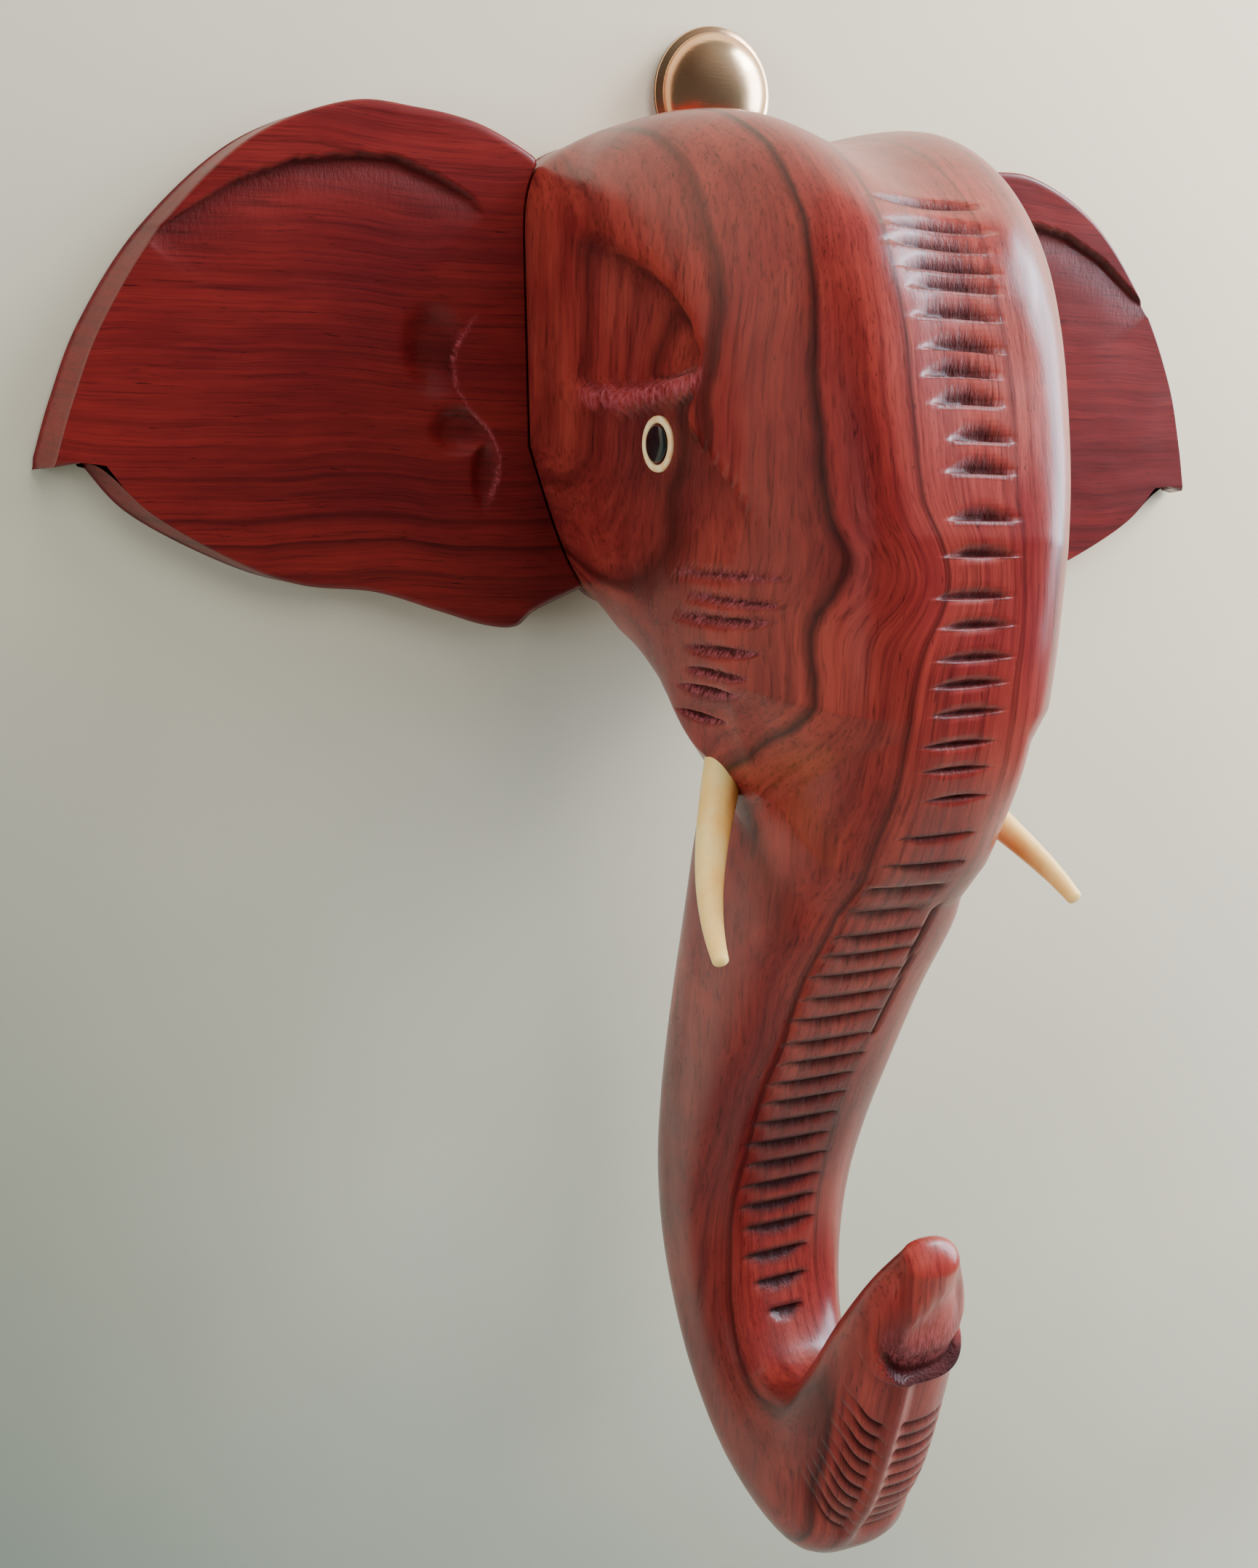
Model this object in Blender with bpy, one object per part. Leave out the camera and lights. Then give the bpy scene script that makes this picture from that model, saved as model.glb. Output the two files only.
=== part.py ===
# Elephant head wall hanging: a carved wooden head with a long curled trunk, two flat ears,
# two tusks, two round inlaid eyes and a domed brass hanger behind the crown.
# Metres, +Z up. The wall is the plane y = 0 and the face looks along -Y.
# Left and right are the viewer's, so the left ear is on -X.

import bpy
import bmesh
import math
from mathutils import Matrix, Vector

# Driving sizes of the head, measured from the wall and from the level of the ear notches
HEAD_DEPTH = 0.103
CROWN_RISE = 0.056
TRUNK_DROP = 0.177
HEAD_HALF_WIDTH = 0.038
TRUNK_HALF_WIDTH = 0.0172
JOINT_GAP = 0.0003

# Ears
EAR_REACH = 0.1167
EAR_THICKNESS = 0.008
EAR_EDGE_SLANT = 0.0035
EAR_RISE = 0.060
EAR_DROP = 0.0282
FOLD_GROOVE_WIDTH = 0.0030
FOLD_GROOVE_DEPTH = 0.0018

# Tusks
TUSK_BASE_RADIUS = 0.0035
TUSK_TIP_RADIUS = 0.00125
TUSK_REACH = 0.031
TUSK_TIP_SPLIT = 0.0021

# Eyes
EYE_RADIUS = 0.0044
PUPIL_RADIUS = 0.0029
EYE_DEPTH = 0.0024

# Hanger
BOSS_RADIUS = 0.0115
BOSS_HEIGHT = 0.0065
BOSS_ABOVE_CROWN = 0.0126
TANG_WIDTH = 0.009
TANG_THICKNESS = 0.0016
TANG_LENGTH = 0.0346

# Carving
GROOVE_COUNT = 43
GROOVE_HALF_HEIGHT = 0.0011
GROOVE_DEPTH = 0.0018
CHEEK_CUT_COUNT = 7
CURL_CUT_COUNT = 10

# Stations of the carved head, from the wall over the crown and down the trunk to its tip.
# Each is a closed section between a front point and a back point. A depth is a share of
# HEAD_DEPTH. A height is a share of CROWN_RISE above zero and of TRUNK_DROP below it.
# front depth, front height, back depth, back height, half width as a share of the trunk's,
# squareness at the front, squareness at the back, rise of the twin domes as a share of CROWN_RISE
SKULL_STATIONS = (
    (0.000, 0.98, 0.000, -0.147, 1.00, 10.0, 6.0, 0.060),
    (0.078, 0.98, 0.078, -0.147, 1.00, 10.0, 6.0, 0.060),
    (0.165, 1.01, 0.160, -0.154, 1.00, 6.0, 7.0, 0.065),
    (0.340, 1.01, 0.230, -0.162, 1.00, 4.6, 8.0, 0.075),
    (0.515, 0.97, 0.272, -0.166, 1.00, 3.6, 8.0, 0.090),
    (0.660, 0.88, 0.302, -0.169, 1.00, 3.4, 8.0, 0.090),
    (0.777, 0.75, 0.330, -0.172, 1.00, 3.8, 8.0, 0.060),
    (0.855, 0.58, 0.356, -0.175, 1.00, 4.6, 8.0, 0.030),
    (0.913, 0.36, 0.383, -0.178, 1.00, 5.6, 8.0, 0.010),
    (0.956, 0.16, 0.408, -0.181, 1.00, 6.0, 8.0, 0.000),
    (0.985, -0.028, 0.432, -0.184, 0.96, 5.4, 8.0, 0.000),
    (1.000, -0.113, 0.456, -0.187, 0.94, 4.6, 8.0, 0.000),
    (0.995, -0.192, 0.480, -0.190, 0.92, 3.9, 8.0, 0.000),
    (0.956, -0.263, 0.502, -0.193, 0.91, 3.7, 7.0, 0.000),
    (0.930, -0.290, 0.520, -0.198, 0.93, 3.8, 6.0, 0.000),
)
TRUNK_STATIONS = (
    (0.874, -0.333, 0.427, -0.237, 0.95, 4.0, 4.0, 0.0),
    (0.845, -0.367, 0.408, -0.322, 0.99, 4.2, 4.2, 0.0),
    (0.777, -0.441, 0.384, -0.424, 0.99, 4.2, 4.2, 0.0),
    (0.699, -0.542, 0.364, -0.531, 1.00, 4.2, 4.2, 0.0),
    (0.641, -0.627, 0.350, -0.633, 1.00, 4.0, 4.0, 0.0),
    (0.612, -0.701, 0.350, -0.734, 0.97, 3.8, 3.8, 0.0),
    (0.621, -0.768, 0.388, -0.836, 0.90, 3.6, 3.6, 0.0),
    (0.660, -0.825, 0.500, -0.938, 0.81, 3.4, 3.4, 0.0),
    (0.728, -0.853, 0.680, -1.000, 0.74, 3.0, 3.0, 0.0),
    (0.806, -0.828, 0.893, -0.994, 0.69, 2.8, 2.8, 0.0),
    (0.859, -0.774, 1.000, -0.904, 0.64, 2.8, 2.8, 0.0),
    (0.917, -0.706, 1.049, -0.797, 0.58, 2.8, 2.8, 0.0),
    (0.981, -0.641, 1.073, -0.695, 0.50, 2.6, 2.6, 0.0),
    (1.024, -0.599, 1.073, -0.624, 0.30, 2.3, 2.3, 0.0),
)
SECTION_STEPS = 18


def smooth_step(low, high, value):
    """Ease from 0 at low to 1 at high."""
    share = min(max((value - low) / (high - low), 0.0), 1.0)
    return share * share * (3.0 - 2.0 * share)


def curve_through(rows, place):
    """Read a smooth curve through rows at place, where whole numbers are the rows themselves."""
    last = len(rows) - 1
    index = min(int(place), last - 1)
    share = place - index
    before = rows[max(index - 1, 0)]
    start = rows[index]
    end = rows[index + 1]
    after = rows[min(index + 2, last)]
    result = []
    for a, b, c, d in zip(before, start, end, after):
        tangent_b = (c - a) * (0.5 if index > 0 else 1.0)
        tangent_c = (d - b) * (0.5 if index + 2 <= last else 1.0)
        value = b * (2 * share**3 - 3 * share**2 + 1)
        value += tangent_b * (share**3 - 2 * share**2 + share)
        value += c * (3 * share**2 - 2 * share**3)
        value += tangent_c * (share**3 - share**2)
        result.append(value)
    return result


def height_of(share):
    """Turn a height share into metres."""
    return share * (CROWN_RISE if share > 0.0 else TRUNK_DROP)


def skull_half_width(depth, height, least):
    """Half width of the skull's side, which narrows forward, toward the jaw and at the trunk's root."""
    wide = max(depth / HEAD_DEPTH - 0.078, 0.0)
    rise = height / CROWN_RISE
    drop = -height / TRUNK_DROP
    jaw = 1.40 * max(drop + 0.028, 0.0) + 0.088 * max(0.79 - rise, 0.0)
    jaw *= max(1.0 - 1.54 * wide, 0.0)
    root = 2.33 * max(drop - 0.141, 0.0) * smooth_step(0.44, 0.73, wide)
    share = 0.99 - 0.314 * wide - 0.293 * wide * wide - jaw - root
    return max(share * HEAD_HALF_WIDTH, least)


def head_section(row, skull_share):
    """Points of one closed section, from its back point over -X and its front point and home over +X."""
    front = Vector((0.0, -row[0] * HEAD_DEPTH, height_of(row[1])))
    back = Vector((0.0, -row[2] * HEAD_DEPTH, height_of(row[3])))
    along = front - back
    direction = along.normalized()
    half = []
    for step in range(SECTION_STEPS + 1):
        angle = math.pi * step / SECTION_STEPS
        sine = abs(math.sin(angle))
        cosine = math.cos(angle)
        squareness = row[6] if cosine > 0.0 else row[5]
        radius = (abs(cosine) ** squareness + sine**squareness) ** (-1.0 / squareness)
        share = (1.0 - radius * cosine) / 2.0
        point = back + along * share
        trunk_width = row[4] * TRUNK_HALF_WIDTH
        skull_width = skull_half_width(-point.y, point.z, trunk_width)
        width = trunk_width + (skull_width - trunk_width) * skull_share
        point.x = width * radius * sine
        hump = math.sin(math.pi * min(point.x / (1.1 * HEAD_HALF_WIDTH), 1.0)) ** 2
        point += direction * row[7] * CROWN_RISE * hump * smooth_step(0.55, 0.95, share)
        half.append(point)
    half[0].x = 0.0
    half[-1].x = 0.0
    mirrored = [Vector((-p.x, p.y, p.z)) for p in half]
    return mirrored + half[-2:0:-1]


def head_sections():
    """All sections of the head in order from the wall to the tip of the trunk."""
    rings = []
    last_skull = len(SKULL_STATIONS) - 1
    places = [0.0, 1.0]
    step = 0.6
    while places[-1] + step < last_skull:
        places.append(places[-1] + step)
    places.append(float(last_skull))
    for place in places:
        rings.append(head_section(curve_through(SKULL_STATIONS, place), 1.0))
    last_trunk = len(TRUNK_STATIONS) - 1
    for half_step in range(2 * last_trunk + 1):
        rings.append(head_section(curve_through(TRUNK_STATIONS, half_step / 2.0), 0.0))
    tip = rings[-1]
    centre = sum(tip, Vector()) / len(tip)
    ahead = (centre - sum(rings[-2], Vector()) / len(tip)).normalized()
    for inset, lift in ((0.80, 0.40), (0.45, 0.70)):
        reach = TRUNK_STATIONS[-1][4] * TRUNK_HALF_WIDTH * lift * 0.6
        rings.append([centre + (p - centre) * inset + ahead * reach for p in tip])
    return rings


def mesh_object(name, vertices, faces, collection):
    """Make an object from vertices and faces with its faces turned outward."""
    mesh = bpy.data.meshes.new(name)
    mesh.from_pydata([tuple(v) for v in vertices], [], faces)
    work = bmesh.new()
    work.from_mesh(mesh)
    bmesh.ops.triangulate(work, faces=[f for f in work.faces if len(f.verts) > 4])
    bmesh.ops.recalc_face_normals(work, faces=work.faces)
    work.to_mesh(mesh)
    work.free()
    thing = bpy.data.objects.new(name, mesh)
    collection.objects.link(thing)
    return thing


def loft(name, rings, collection):
    """Skin closed rings of equal length and close both ends."""
    count = len(rings[0])
    vertices = [point for ring in rings for point in ring]
    faces = []
    for ring in range(len(rings) - 1):
        for side in range(count):
            after = (side + 1) % count
            low = ring * count
            high = low + count
            faces.append((low + side, low + after, high + after, high + side))
    faces.append(tuple(range(count)))
    top = (len(rings) - 1) * count
    faces.append(tuple(range(top, top + count)))
    return mesh_object(name, vertices, faces, collection)


def join_cutters(name, pieces, collection):
    """Gather several closed pieces, given as vertices and faces, in one cutter object."""
    vertices = []
    faces = []
    for piece_vertices, piece_faces in pieces:
        start = len(vertices)
        vertices.extend(piece_vertices)
        faces.extend([tuple(start + index for index in face) for face in piece_faces])
    return mesh_object(name, vertices, faces, collection)


def gouge(centre, along, out, half_length, half_height, depth):
    """One knife cut: a long diamond that is deepest in the middle and runs out at both ends."""
    across = along.cross(out).normalized()
    proud = out * depth
    vertices = [
        centre - along * half_length + proud * 0.25,
        centre + along * half_length + proud * 0.25,
        centre - across * half_height * 1.4 + proud * 0.6,
        centre + across * half_height * 1.4 + proud * 0.6,
        centre - proud,
        centre + proud * 1.2,
    ]
    faces = [(0, 2, 4), (2, 1, 4), (1, 3, 4), (3, 0, 4), (2, 0, 5), (1, 2, 5), (3, 1, 5), (0, 3, 5)]
    return vertices, faces


def ball(name, centre, radii, turn, collection):
    """A stretched ball, turned by the given matrix, as a scoop-shaped cutter."""
    mesh = bpy.data.meshes.new(name)
    work = bmesh.new()
    bmesh.ops.create_uvsphere(work, u_segments=20, v_segments=12, radius=1.0)
    shape = Matrix.Translation(centre) @ turn.to_4x4() @ Matrix.Diagonal((*radii, 1.0))
    bmesh.ops.transform(work, matrix=shape, verts=work.verts)
    work.to_mesh(mesh)
    work.free()
    thing = bpy.data.objects.new(name, mesh)
    collection.objects.link(thing)
    return thing


def disc(name, inner, outer, bottom, top, frame, collection, dome=0.0, steps=20):
    """A round inlay around the frame's own z, either a ring or, with no inner radius, a domed button."""
    rings = []
    profile = [(outer, bottom), (outer, top)]
    if inner > 0.0:
        profile = [(inner, bottom), (outer, bottom), (outer, top), (inner, top)]
    if dome > 0.0:
        profile += [(outer * 0.75, top + dome * 0.55), (outer * 0.4, top + dome * 0.9)]
    for radius, height in profile:
        ring = []
        for step in range(steps):
            angle = 2.0 * math.pi * step / steps
            ring.append(frame @ Vector((radius * math.cos(angle), radius * math.sin(angle), height)))
        rings.append(ring)
    if inner <= 0.0:
        return loft(name, rings, collection)
    vertices = [point for ring in rings for point in ring]
    faces = []
    for ring in range(4):
        low = ring * steps
        high = ((ring + 1) % 4) * steps
        for side in range(steps):
            after = (side + 1) % steps
            faces.append((low + side, low + after, high + after, high + side))
    return mesh_object(name, vertices, faces, collection)


def box(name, low, high, collection):
    """A plain block between two corners."""
    vertices = [Vector((x, y, z)) for x in (low[0], high[0]) for y in (low[1], high[1]) for z in (low[2], high[2])]
    faces = [(0, 1, 3, 2), (4, 6, 7, 5), (0, 4, 5, 1), (2, 3, 7, 6), (0, 2, 6, 4), (1, 5, 7, 3)]
    return mesh_object(name, vertices, faces, collection)


def combine(target, other, operation):
    """Leave a live Boolean on the target."""
    change = target.modifiers.new(other.name, "BOOLEAN")
    change.operation = operation
    change.solver = "EXACT"
    change.object = other


def material(name, colour, roughness, metallic=0.0, coat=0.0):
    """A plain shaded material."""
    paint = bpy.data.materials.new(name)
    paint.use_nodes = True
    shader = paint.node_tree.nodes["Principled BSDF"]
    shader.inputs["Base Color"].default_value = (*colour, 1.0)
    shader.inputs["Roughness"].default_value = roughness
    shader.inputs["Metallic"].default_value = metallic
    shader.inputs["Coat Weight"].default_value = coat
    paint.diffuse_color = (*colour, 1.0)
    return paint


def front_point(place):
    """The front point of the head's section at a place counted over all stations."""
    last_skull = len(SKULL_STATIONS) - 1
    if place <= last_skull:
        row = curve_through(SKULL_STATIONS, place)
    elif place >= last_skull + 1:
        row = curve_through(TRUNK_STATIONS, place - last_skull - 1)
    else:
        share = place - last_skull
        ends = zip(SKULL_STATIONS[-1], TRUNK_STATIONS[0])
        row = [start + (end - start) * share for start, end in ends]
    return Vector((0.0, -row[0] * HEAD_DEPTH, height_of(row[1])))


def back_point(place):
    """The back point of a trunk section."""
    row = curve_through(TRUNK_STATIONS, place)
    return Vector((0.0, -row[2] * HEAD_DEPTH, height_of(row[3])))


def even_places(point_at, start, end, count):
    """Places from start to end that are the same distance apart along the curve."""
    fine = 400
    places = [start + (end - start) * step / fine for step in range(fine + 1)]
    points = [point_at(place) for place in places]
    lengths = [0.0]
    for a, b in zip(points, points[1:]):
        lengths.append(lengths[-1] + (b - a).length)
    result = []
    index = 0
    for number in range(count):
        goal = lengths[-1] * number / (count - 1)
        while index < fine and lengths[index] < goal:
            index += 1
        result.append(places[index])
    return result


def trunk_grooves():
    """Cross cuts down the forehead and the trunk, wide on the brow and the trunk and short between."""
    pieces = []
    places = even_places(front_point, 5.25, 21.3, GROOVE_COUNT)
    for number, place in enumerate(places):
        point = front_point(place)
        tangent = (front_point(place + 0.02) - front_point(place - 0.02)).normalized()
        out = Vector((1.0, 0.0, 0.0)).cross(tangent).normalized()
        if out.dot(Vector((0.0, -1.0, 0.3))) < 0.0:
            out = -out
        brow = 1.0 - smooth_step(6.5, 9.5, place)
        trunk = smooth_step(13.3, 15.5, place) * (1.0 - 0.55 * smooth_step(20.0, 21.3, place))
        share = 0.36 + 0.16 * brow + 0.20 * trunk
        share += 0.03 * math.sin(2.3 * number)
        along = Vector((1.0, 0.0, 0.05 * math.sin(1.7 * number))).normalized()
        half_length = share * TRUNK_HALF_WIDTH
        pieces.append(gouge(point, along, out, half_length, GROOVE_HALF_HEIGHT, GROOVE_DEPTH))
    return pieces


def curl_cuts():
    """Cross cuts over the outer side of the upturned end of the trunk."""
    pieces = []
    for place in even_places(back_point, 8.4, 10.9, CURL_CUT_COUNT):
        point = back_point(place)
        tangent = (back_point(place + 0.02) - back_point(place - 0.02)).normalized()
        out = tangent.cross(Vector((1.0, 0.0, 0.0))).normalized()
        if out.dot(Vector((0.0, -1.0, -0.6))) < 0.0:
            out = -out
        along = Vector((1.0, 0.0, 0.0))
        half_length = 0.38 * TRUNK_HALF_WIDTH
        pieces.append(gouge(point, along, out, half_length, GROOVE_HALF_HEIGHT, GROOVE_DEPTH))
    return pieces


def side_frame(side, depth, height):
    """Centre and outward direction on the skull's side at a depth from the wall and a height."""
    least = 0.9 * TRUNK_HALF_WIDTH
    width = skull_half_width(depth, height, least)
    slope = (skull_half_width(depth + 0.001, height, least) - width) / 0.001
    rise = (skull_half_width(depth, height + 0.001, least) - width) / 0.001
    centre = Vector((side * width, -depth, height))
    out = Vector((side, slope, -rise)).normalized()
    return centre, out


def cheek_cuts(side):
    """Seven level cuts across the cheek, one below the other, shorter toward the jaw."""
    pieces = []
    for number in range(CHEEK_CUT_COUNT):
        share = number / (CHEEK_CUT_COUNT - 1)
        height = -(0.052 + 0.133 * share) * TRUNK_DROP
        depth = (0.700 - 0.075 * share) * HEAD_DEPTH
        half_length = (0.140 - 0.070 * share) * HEAD_DEPTH
        centre, out = side_frame(side, depth, height)
        level = out.cross(Vector((0.0, 0.0, 1.0))).normalized()
        pieces.append(gouge(centre, level, out, half_length, GROOVE_HALF_HEIGHT, GROOVE_DEPTH))
    return pieces


def turn_to(out):
    """A turn whose own z looks along out and whose own y stays close to upright."""
    across = Vector((0.0, 0.0, 1.0)).cross(out).normalized()
    upright = out.cross(across).normalized()
    return Matrix((across, upright, out)).transposed()


def head_outline():
    """The head's outline on the wall, from its back point up the +X side to its front point."""
    ring = head_section(SKULL_STATIONS[0], 1.0)
    half = [Vector((-p.x, 0.0, p.z)) for p in ring[: SECTION_STEPS + 1]]
    return half


def ear_outline():
    """The ear's outline for +X: up along the head, over the crest to the tip and back under the lobe."""
    root = []
    root_top = min(0.885 * EAR_RISE, 0.948 * CROWN_RISE)
    outline = head_outline()
    for before, point, after in zip(outline, outline[1:], outline[2:]):
        normal = (after - before).cross(Vector((0.0, 1.0, 0.0))).normalized()
        if normal.x < 0.0:
            normal = -normal
        shifted = point + normal * JOINT_GAP
        if -0.73 * EAR_DROP < shifted.z < root_top:
            root.append((shifted.x, shifted.z))
    upper = (
        (0.315, 0.915),
        (0.394, 0.975),
        (0.487, 1.000),
        (0.589, 0.995),
        (0.722, 0.875),
        (0.845, 0.635),
        (0.927, 0.380),
        (0.971, 0.170),
        (1.000, -0.010),
    )
    lower = (
        (0.937, 0.020),
        (0.876, -0.270),
        (0.759, -0.560),
        (0.661, -0.713),
        (0.546, -0.762),
        (0.446, -0.890),
        (0.371, -0.986),
        (0.318, -1.000),
    )
    points = list(root)
    steps = 3
    for number in range(steps * (len(upper) - 1) + 1):
        x, z = curve_through(upper, number / steps)
        points.append((x * EAR_REACH, z * (EAR_RISE if z > 0.0 else EAR_DROP)))
    for number in range(steps * (len(lower) - 1) + 1):
        x, z = curve_through(lower, number / steps)
        points.append((x * EAR_REACH, z * (EAR_RISE if z > 0.0 else EAR_DROP)))
    points.append((0.256 * EAR_REACH, -0.74 * EAR_DROP))
    return points, len(root)


def ear(name, side, collection):
    """A flat board whose outer edge slants, so that its back is a little larger than its front."""
    points, root_count = ear_outline()
    front = []
    back = []
    for number, (x, z) in enumerate(points):
        front.append(Vector((side * x, -EAR_THICKNESS, z)))
        reach = smooth_step(0.35 * EAR_REACH, EAR_REACH, x)
        slant = EAR_EDGE_SLANT * reach if number >= root_count else 0.0
        back.append(Vector((side * (x + slant), 0.0, z - (0.3 * slant if z < 0.0 else 0.0))))
    return loft(name, [back, front], collection)


def fold_cutter(name, side, collection):
    """The long curved step below the crest of an ear, cut as a narrow wedge along an arc."""
    path = ((0.865, 0.59), (0.800, 0.71), (0.700, 0.81), (0.600, 0.855), (0.510, 0.855), (0.440, 0.80), (0.385, 0.73))
    rings = []
    steps = 3
    count = steps * (len(path) - 1)
    for number in range(count + 1):
        x, z = curve_through(path, number / steps)
        ahead = curve_through(path, min((number + 0.2) / steps, len(path) - 1))
        behind = curve_through(path, max((number - 0.2) / steps, 0.0))
        along = Vector((side * (ahead[0] - behind[0]) * EAR_REACH, 0.0, (ahead[1] - behind[1]) * EAR_RISE))
        across = along.normalized().cross(Vector((0.0, 1.0, 0.0)))
        if across.z < 0.0:
            across = -across
        share = number / count
        size = 0.25 + 0.75 * math.sin(math.pi * share)
        width = FOLD_GROOVE_WIDTH * size
        depth = FOLD_GROOVE_DEPTH * size
        surface = Vector((side * x * EAR_REACH, -EAR_THICKNESS, z * EAR_RISE))
        rings.append(
            [
                surface + across * width * 0.3 + Vector((0.0, -0.002, 0.0)),
                surface + across * width * 0.2 + Vector((0.0, depth, 0.0)),
                surface - across * width - Vector((0.0, depth * 0.1, 0.0)),
                surface - across * width + Vector((0.0, -0.002, 0.0)),
            ]
        )
    return loft(name, rings, collection)


def tusk_rings(side, grow):
    """Round sections of a tusk along its bend, with every radius grown by the given amount."""
    split = side * TUSK_TIP_SPLIT
    root = Vector((side * 0.56 * TUSK_REACH, -0.603 * HEAD_DEPTH, -0.192 * TRUNK_DROP))
    neck = Vector((side * 0.62 * TUSK_REACH, -0.630 * HEAD_DEPTH, -0.257 * TRUNK_DROP))
    bend = Vector((side * 0.96 * TUSK_REACH, -0.762 * HEAD_DEPTH, -0.295 * TRUNK_DROP + 0.6 * split))
    tip = Vector((side * TUSK_REACH, -0.893 * HEAD_DEPTH, -0.340 * TRUNK_DROP + split))
    rings = []
    steps = 12
    for number in range(steps + 1):
        share = number / steps
        rest = 1.0 - share
        centre = root * rest**3 + neck * 3.0 * share * rest**2 + bend * 3.0 * share**2 * rest + tip * share**3
        along = (neck - root) * rest**2 + (bend - neck) * 2.0 * share * rest + (tip - bend) * share**2
        along = along.normalized()
        across = along.cross(Vector((0.0, -0.5, 1.0))).normalized()
        other = along.cross(across)
        radius = TUSK_BASE_RADIUS + (TUSK_TIP_RADIUS - TUSK_BASE_RADIUS) * share**1.5
        ring = []
        for step in range(14):
            angle = 2.0 * math.pi * step / 14
            ring.append(centre + (across * math.cos(angle) + other * math.sin(angle)) * (radius + grow))
        rings.append(ring)
    start_along = (neck - root).normalized()
    rings[0] = [point - start_along * grow for point in rings[0]]
    if grow == 0.0:
        end_centre = sum(rings[-1], Vector()) / 14
        end_along = (tip - bend).normalized()
        for inset, lift in ((0.75, 0.45), (0.35, 0.65)):
            rim = rings[steps]
            shift = end_along * TUSK_TIP_RADIUS * lift
            rings.append([end_centre + (point - end_centre) * inset + shift for point in rim])
    return rings


def clear_scene():
    """Empty the scene."""
    for thing in list(bpy.data.objects):
        bpy.data.objects.remove(thing, do_unlink=True)
    for group in list(bpy.data.collections):
        bpy.data.collections.remove(group)


def build():
    """Make every piece and leave the cuts as live Booleans."""
    clear_scene()
    parts = bpy.data.collections.new("elephant_head_wall_hanging")
    cutters = bpy.data.collections.new("cutters")
    bpy.context.scene.collection.children.link(parts)
    bpy.context.scene.collection.children.link(cutters)

    rosewood = material("rosewood", (0.20, 0.035, 0.015), 0.30, coat=0.3)
    ear_wood = material("ear_wood", (0.16, 0.018, 0.012), 0.38, coat=0.2)
    ivory = material("tusk_cream", (0.85, 0.70, 0.42), 0.35)
    eye_cream = material("eye_cream", (0.85, 0.76, 0.58), 0.35)
    eye_black = material("eye_black", (0.01, 0.012, 0.012), 0.12)
    brass = material("brass", (0.80, 0.50, 0.28), 0.18, metallic=1.0)

    head = loft("head", head_sections(), parts)
    head.data.materials.append(rosewood)

    grooves = join_cutters("groove_cuts", trunk_grooves(), cutters)
    combine(head, grooves, "DIFFERENCE")
    curl = join_cutters("curl_cuts", curl_cuts(), cutters)
    combine(head, curl, "DIFFERENCE")
    nostril_centre = back_point(12.0)
    nostril = gouge(
        nostril_centre,
        Vector((1.0, 0.0, 0.0)),
        Vector((0.0, -1.0, 0.0)),
        0.42 * TRUNK_HALF_WIDTH,
        0.0022,
        0.0034,
    )
    combine(head, join_cutters("nostril_cut", [nostril], cutters), "DIFFERENCE")

    for side, word in ((-1.0, "left"), (1.0, "right")):
        brow_centre, brow_out = side_frame(side, 0.440 * HEAD_DEPTH, 0.47 * CROWN_RISE)
        brow_turn = turn_to((brow_out + Vector((0.0, -0.12, -0.10))).normalized())
        brow_radii = (0.0215, 0.0125, 0.0065)
        brow = ball("brow_scoop_" + word, brow_centre + brow_out * 0.0030, brow_radii, brow_turn, cutters)
        combine(head, brow, "DIFFERENCE")

        socket_centre, socket_out = side_frame(side, 0.500 * HEAD_DEPTH, 0.15 * CROWN_RISE)
        socket_turn = turn_to(socket_out)
        socket_radii = (0.0125, 0.0080, 0.0030)
        socket = ball("eye_scoop_" + word, socket_centre + socket_out * 0.0012, socket_radii, socket_turn, cutters)
        combine(head, socket, "DIFFERENCE")

        eye_floor = socket_centre - socket_out * 0.0018
        eye_frame = Matrix.Translation(eye_floor) @ socket_turn.to_4x4()
        hole_radius = EYE_RADIUS + JOINT_GAP
        hole = disc("eye_hole_" + word, 0.0, hole_radius, -EYE_DEPTH - JOINT_GAP, 0.004, eye_frame, cutters)
        combine(head, hole, "DIFFERENCE")
        ring = disc("eye_ring_" + word, PUPIL_RADIUS + JOINT_GAP, EYE_RADIUS, -EYE_DEPTH, 0.0004, eye_frame, parts)
        ring.data.materials.append(eye_cream)
        pupil = disc("pupil_" + word, 0.0, PUPIL_RADIUS, -EYE_DEPTH, 0.0004, eye_frame, parts, dome=0.0006)
        pupil.data.materials.append(eye_black)

        cheek = join_cutters("cheek_cuts_" + word, cheek_cuts(side), cutters)
        combine(head, cheek, "DIFFERENCE")

        seat = loft("tusk_seat_" + word, tusk_rings(side, JOINT_GAP), cutters)
        combine(head, seat, "DIFFERENCE")
        tusk = loft("tusk_" + word, tusk_rings(side, 0.0), parts)
        tusk.data.materials.append(ivory)

        board = ear("ear_" + word, side, parts)
        board.data.materials.append(ear_wood)
        combine(board, fold_cutter("fold_" + word, side, cutters), "DIFFERENCE")
        upper_bowl = Vector((side * 0.475 * EAR_REACH, -EAR_THICKNESS - 0.0022, 0.36 * EAR_RISE))
        bowl_turn = Matrix.Rotation(side * 0.12, 3, "Y")
        bowl = ball("ear_bowl_" + word, upper_bowl, (0.0042, 0.0040, 0.0085), bowl_turn, cutters)
        combine(board, bowl, "DIFFERENCE")
        lower_bowl = Vector((side * 0.425 * EAR_REACH, -EAR_THICKNESS - 0.0016, 0.075 * EAR_RISE))
        slot_turn = Matrix.Rotation(side * -0.35, 3, "Y")
        slot = ball("ear_slot_" + word, lower_bowl, (0.0034, 0.0032, 0.0080), slot_turn, cutters)
        combine(board, slot, "DIFFERENCE")

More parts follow.
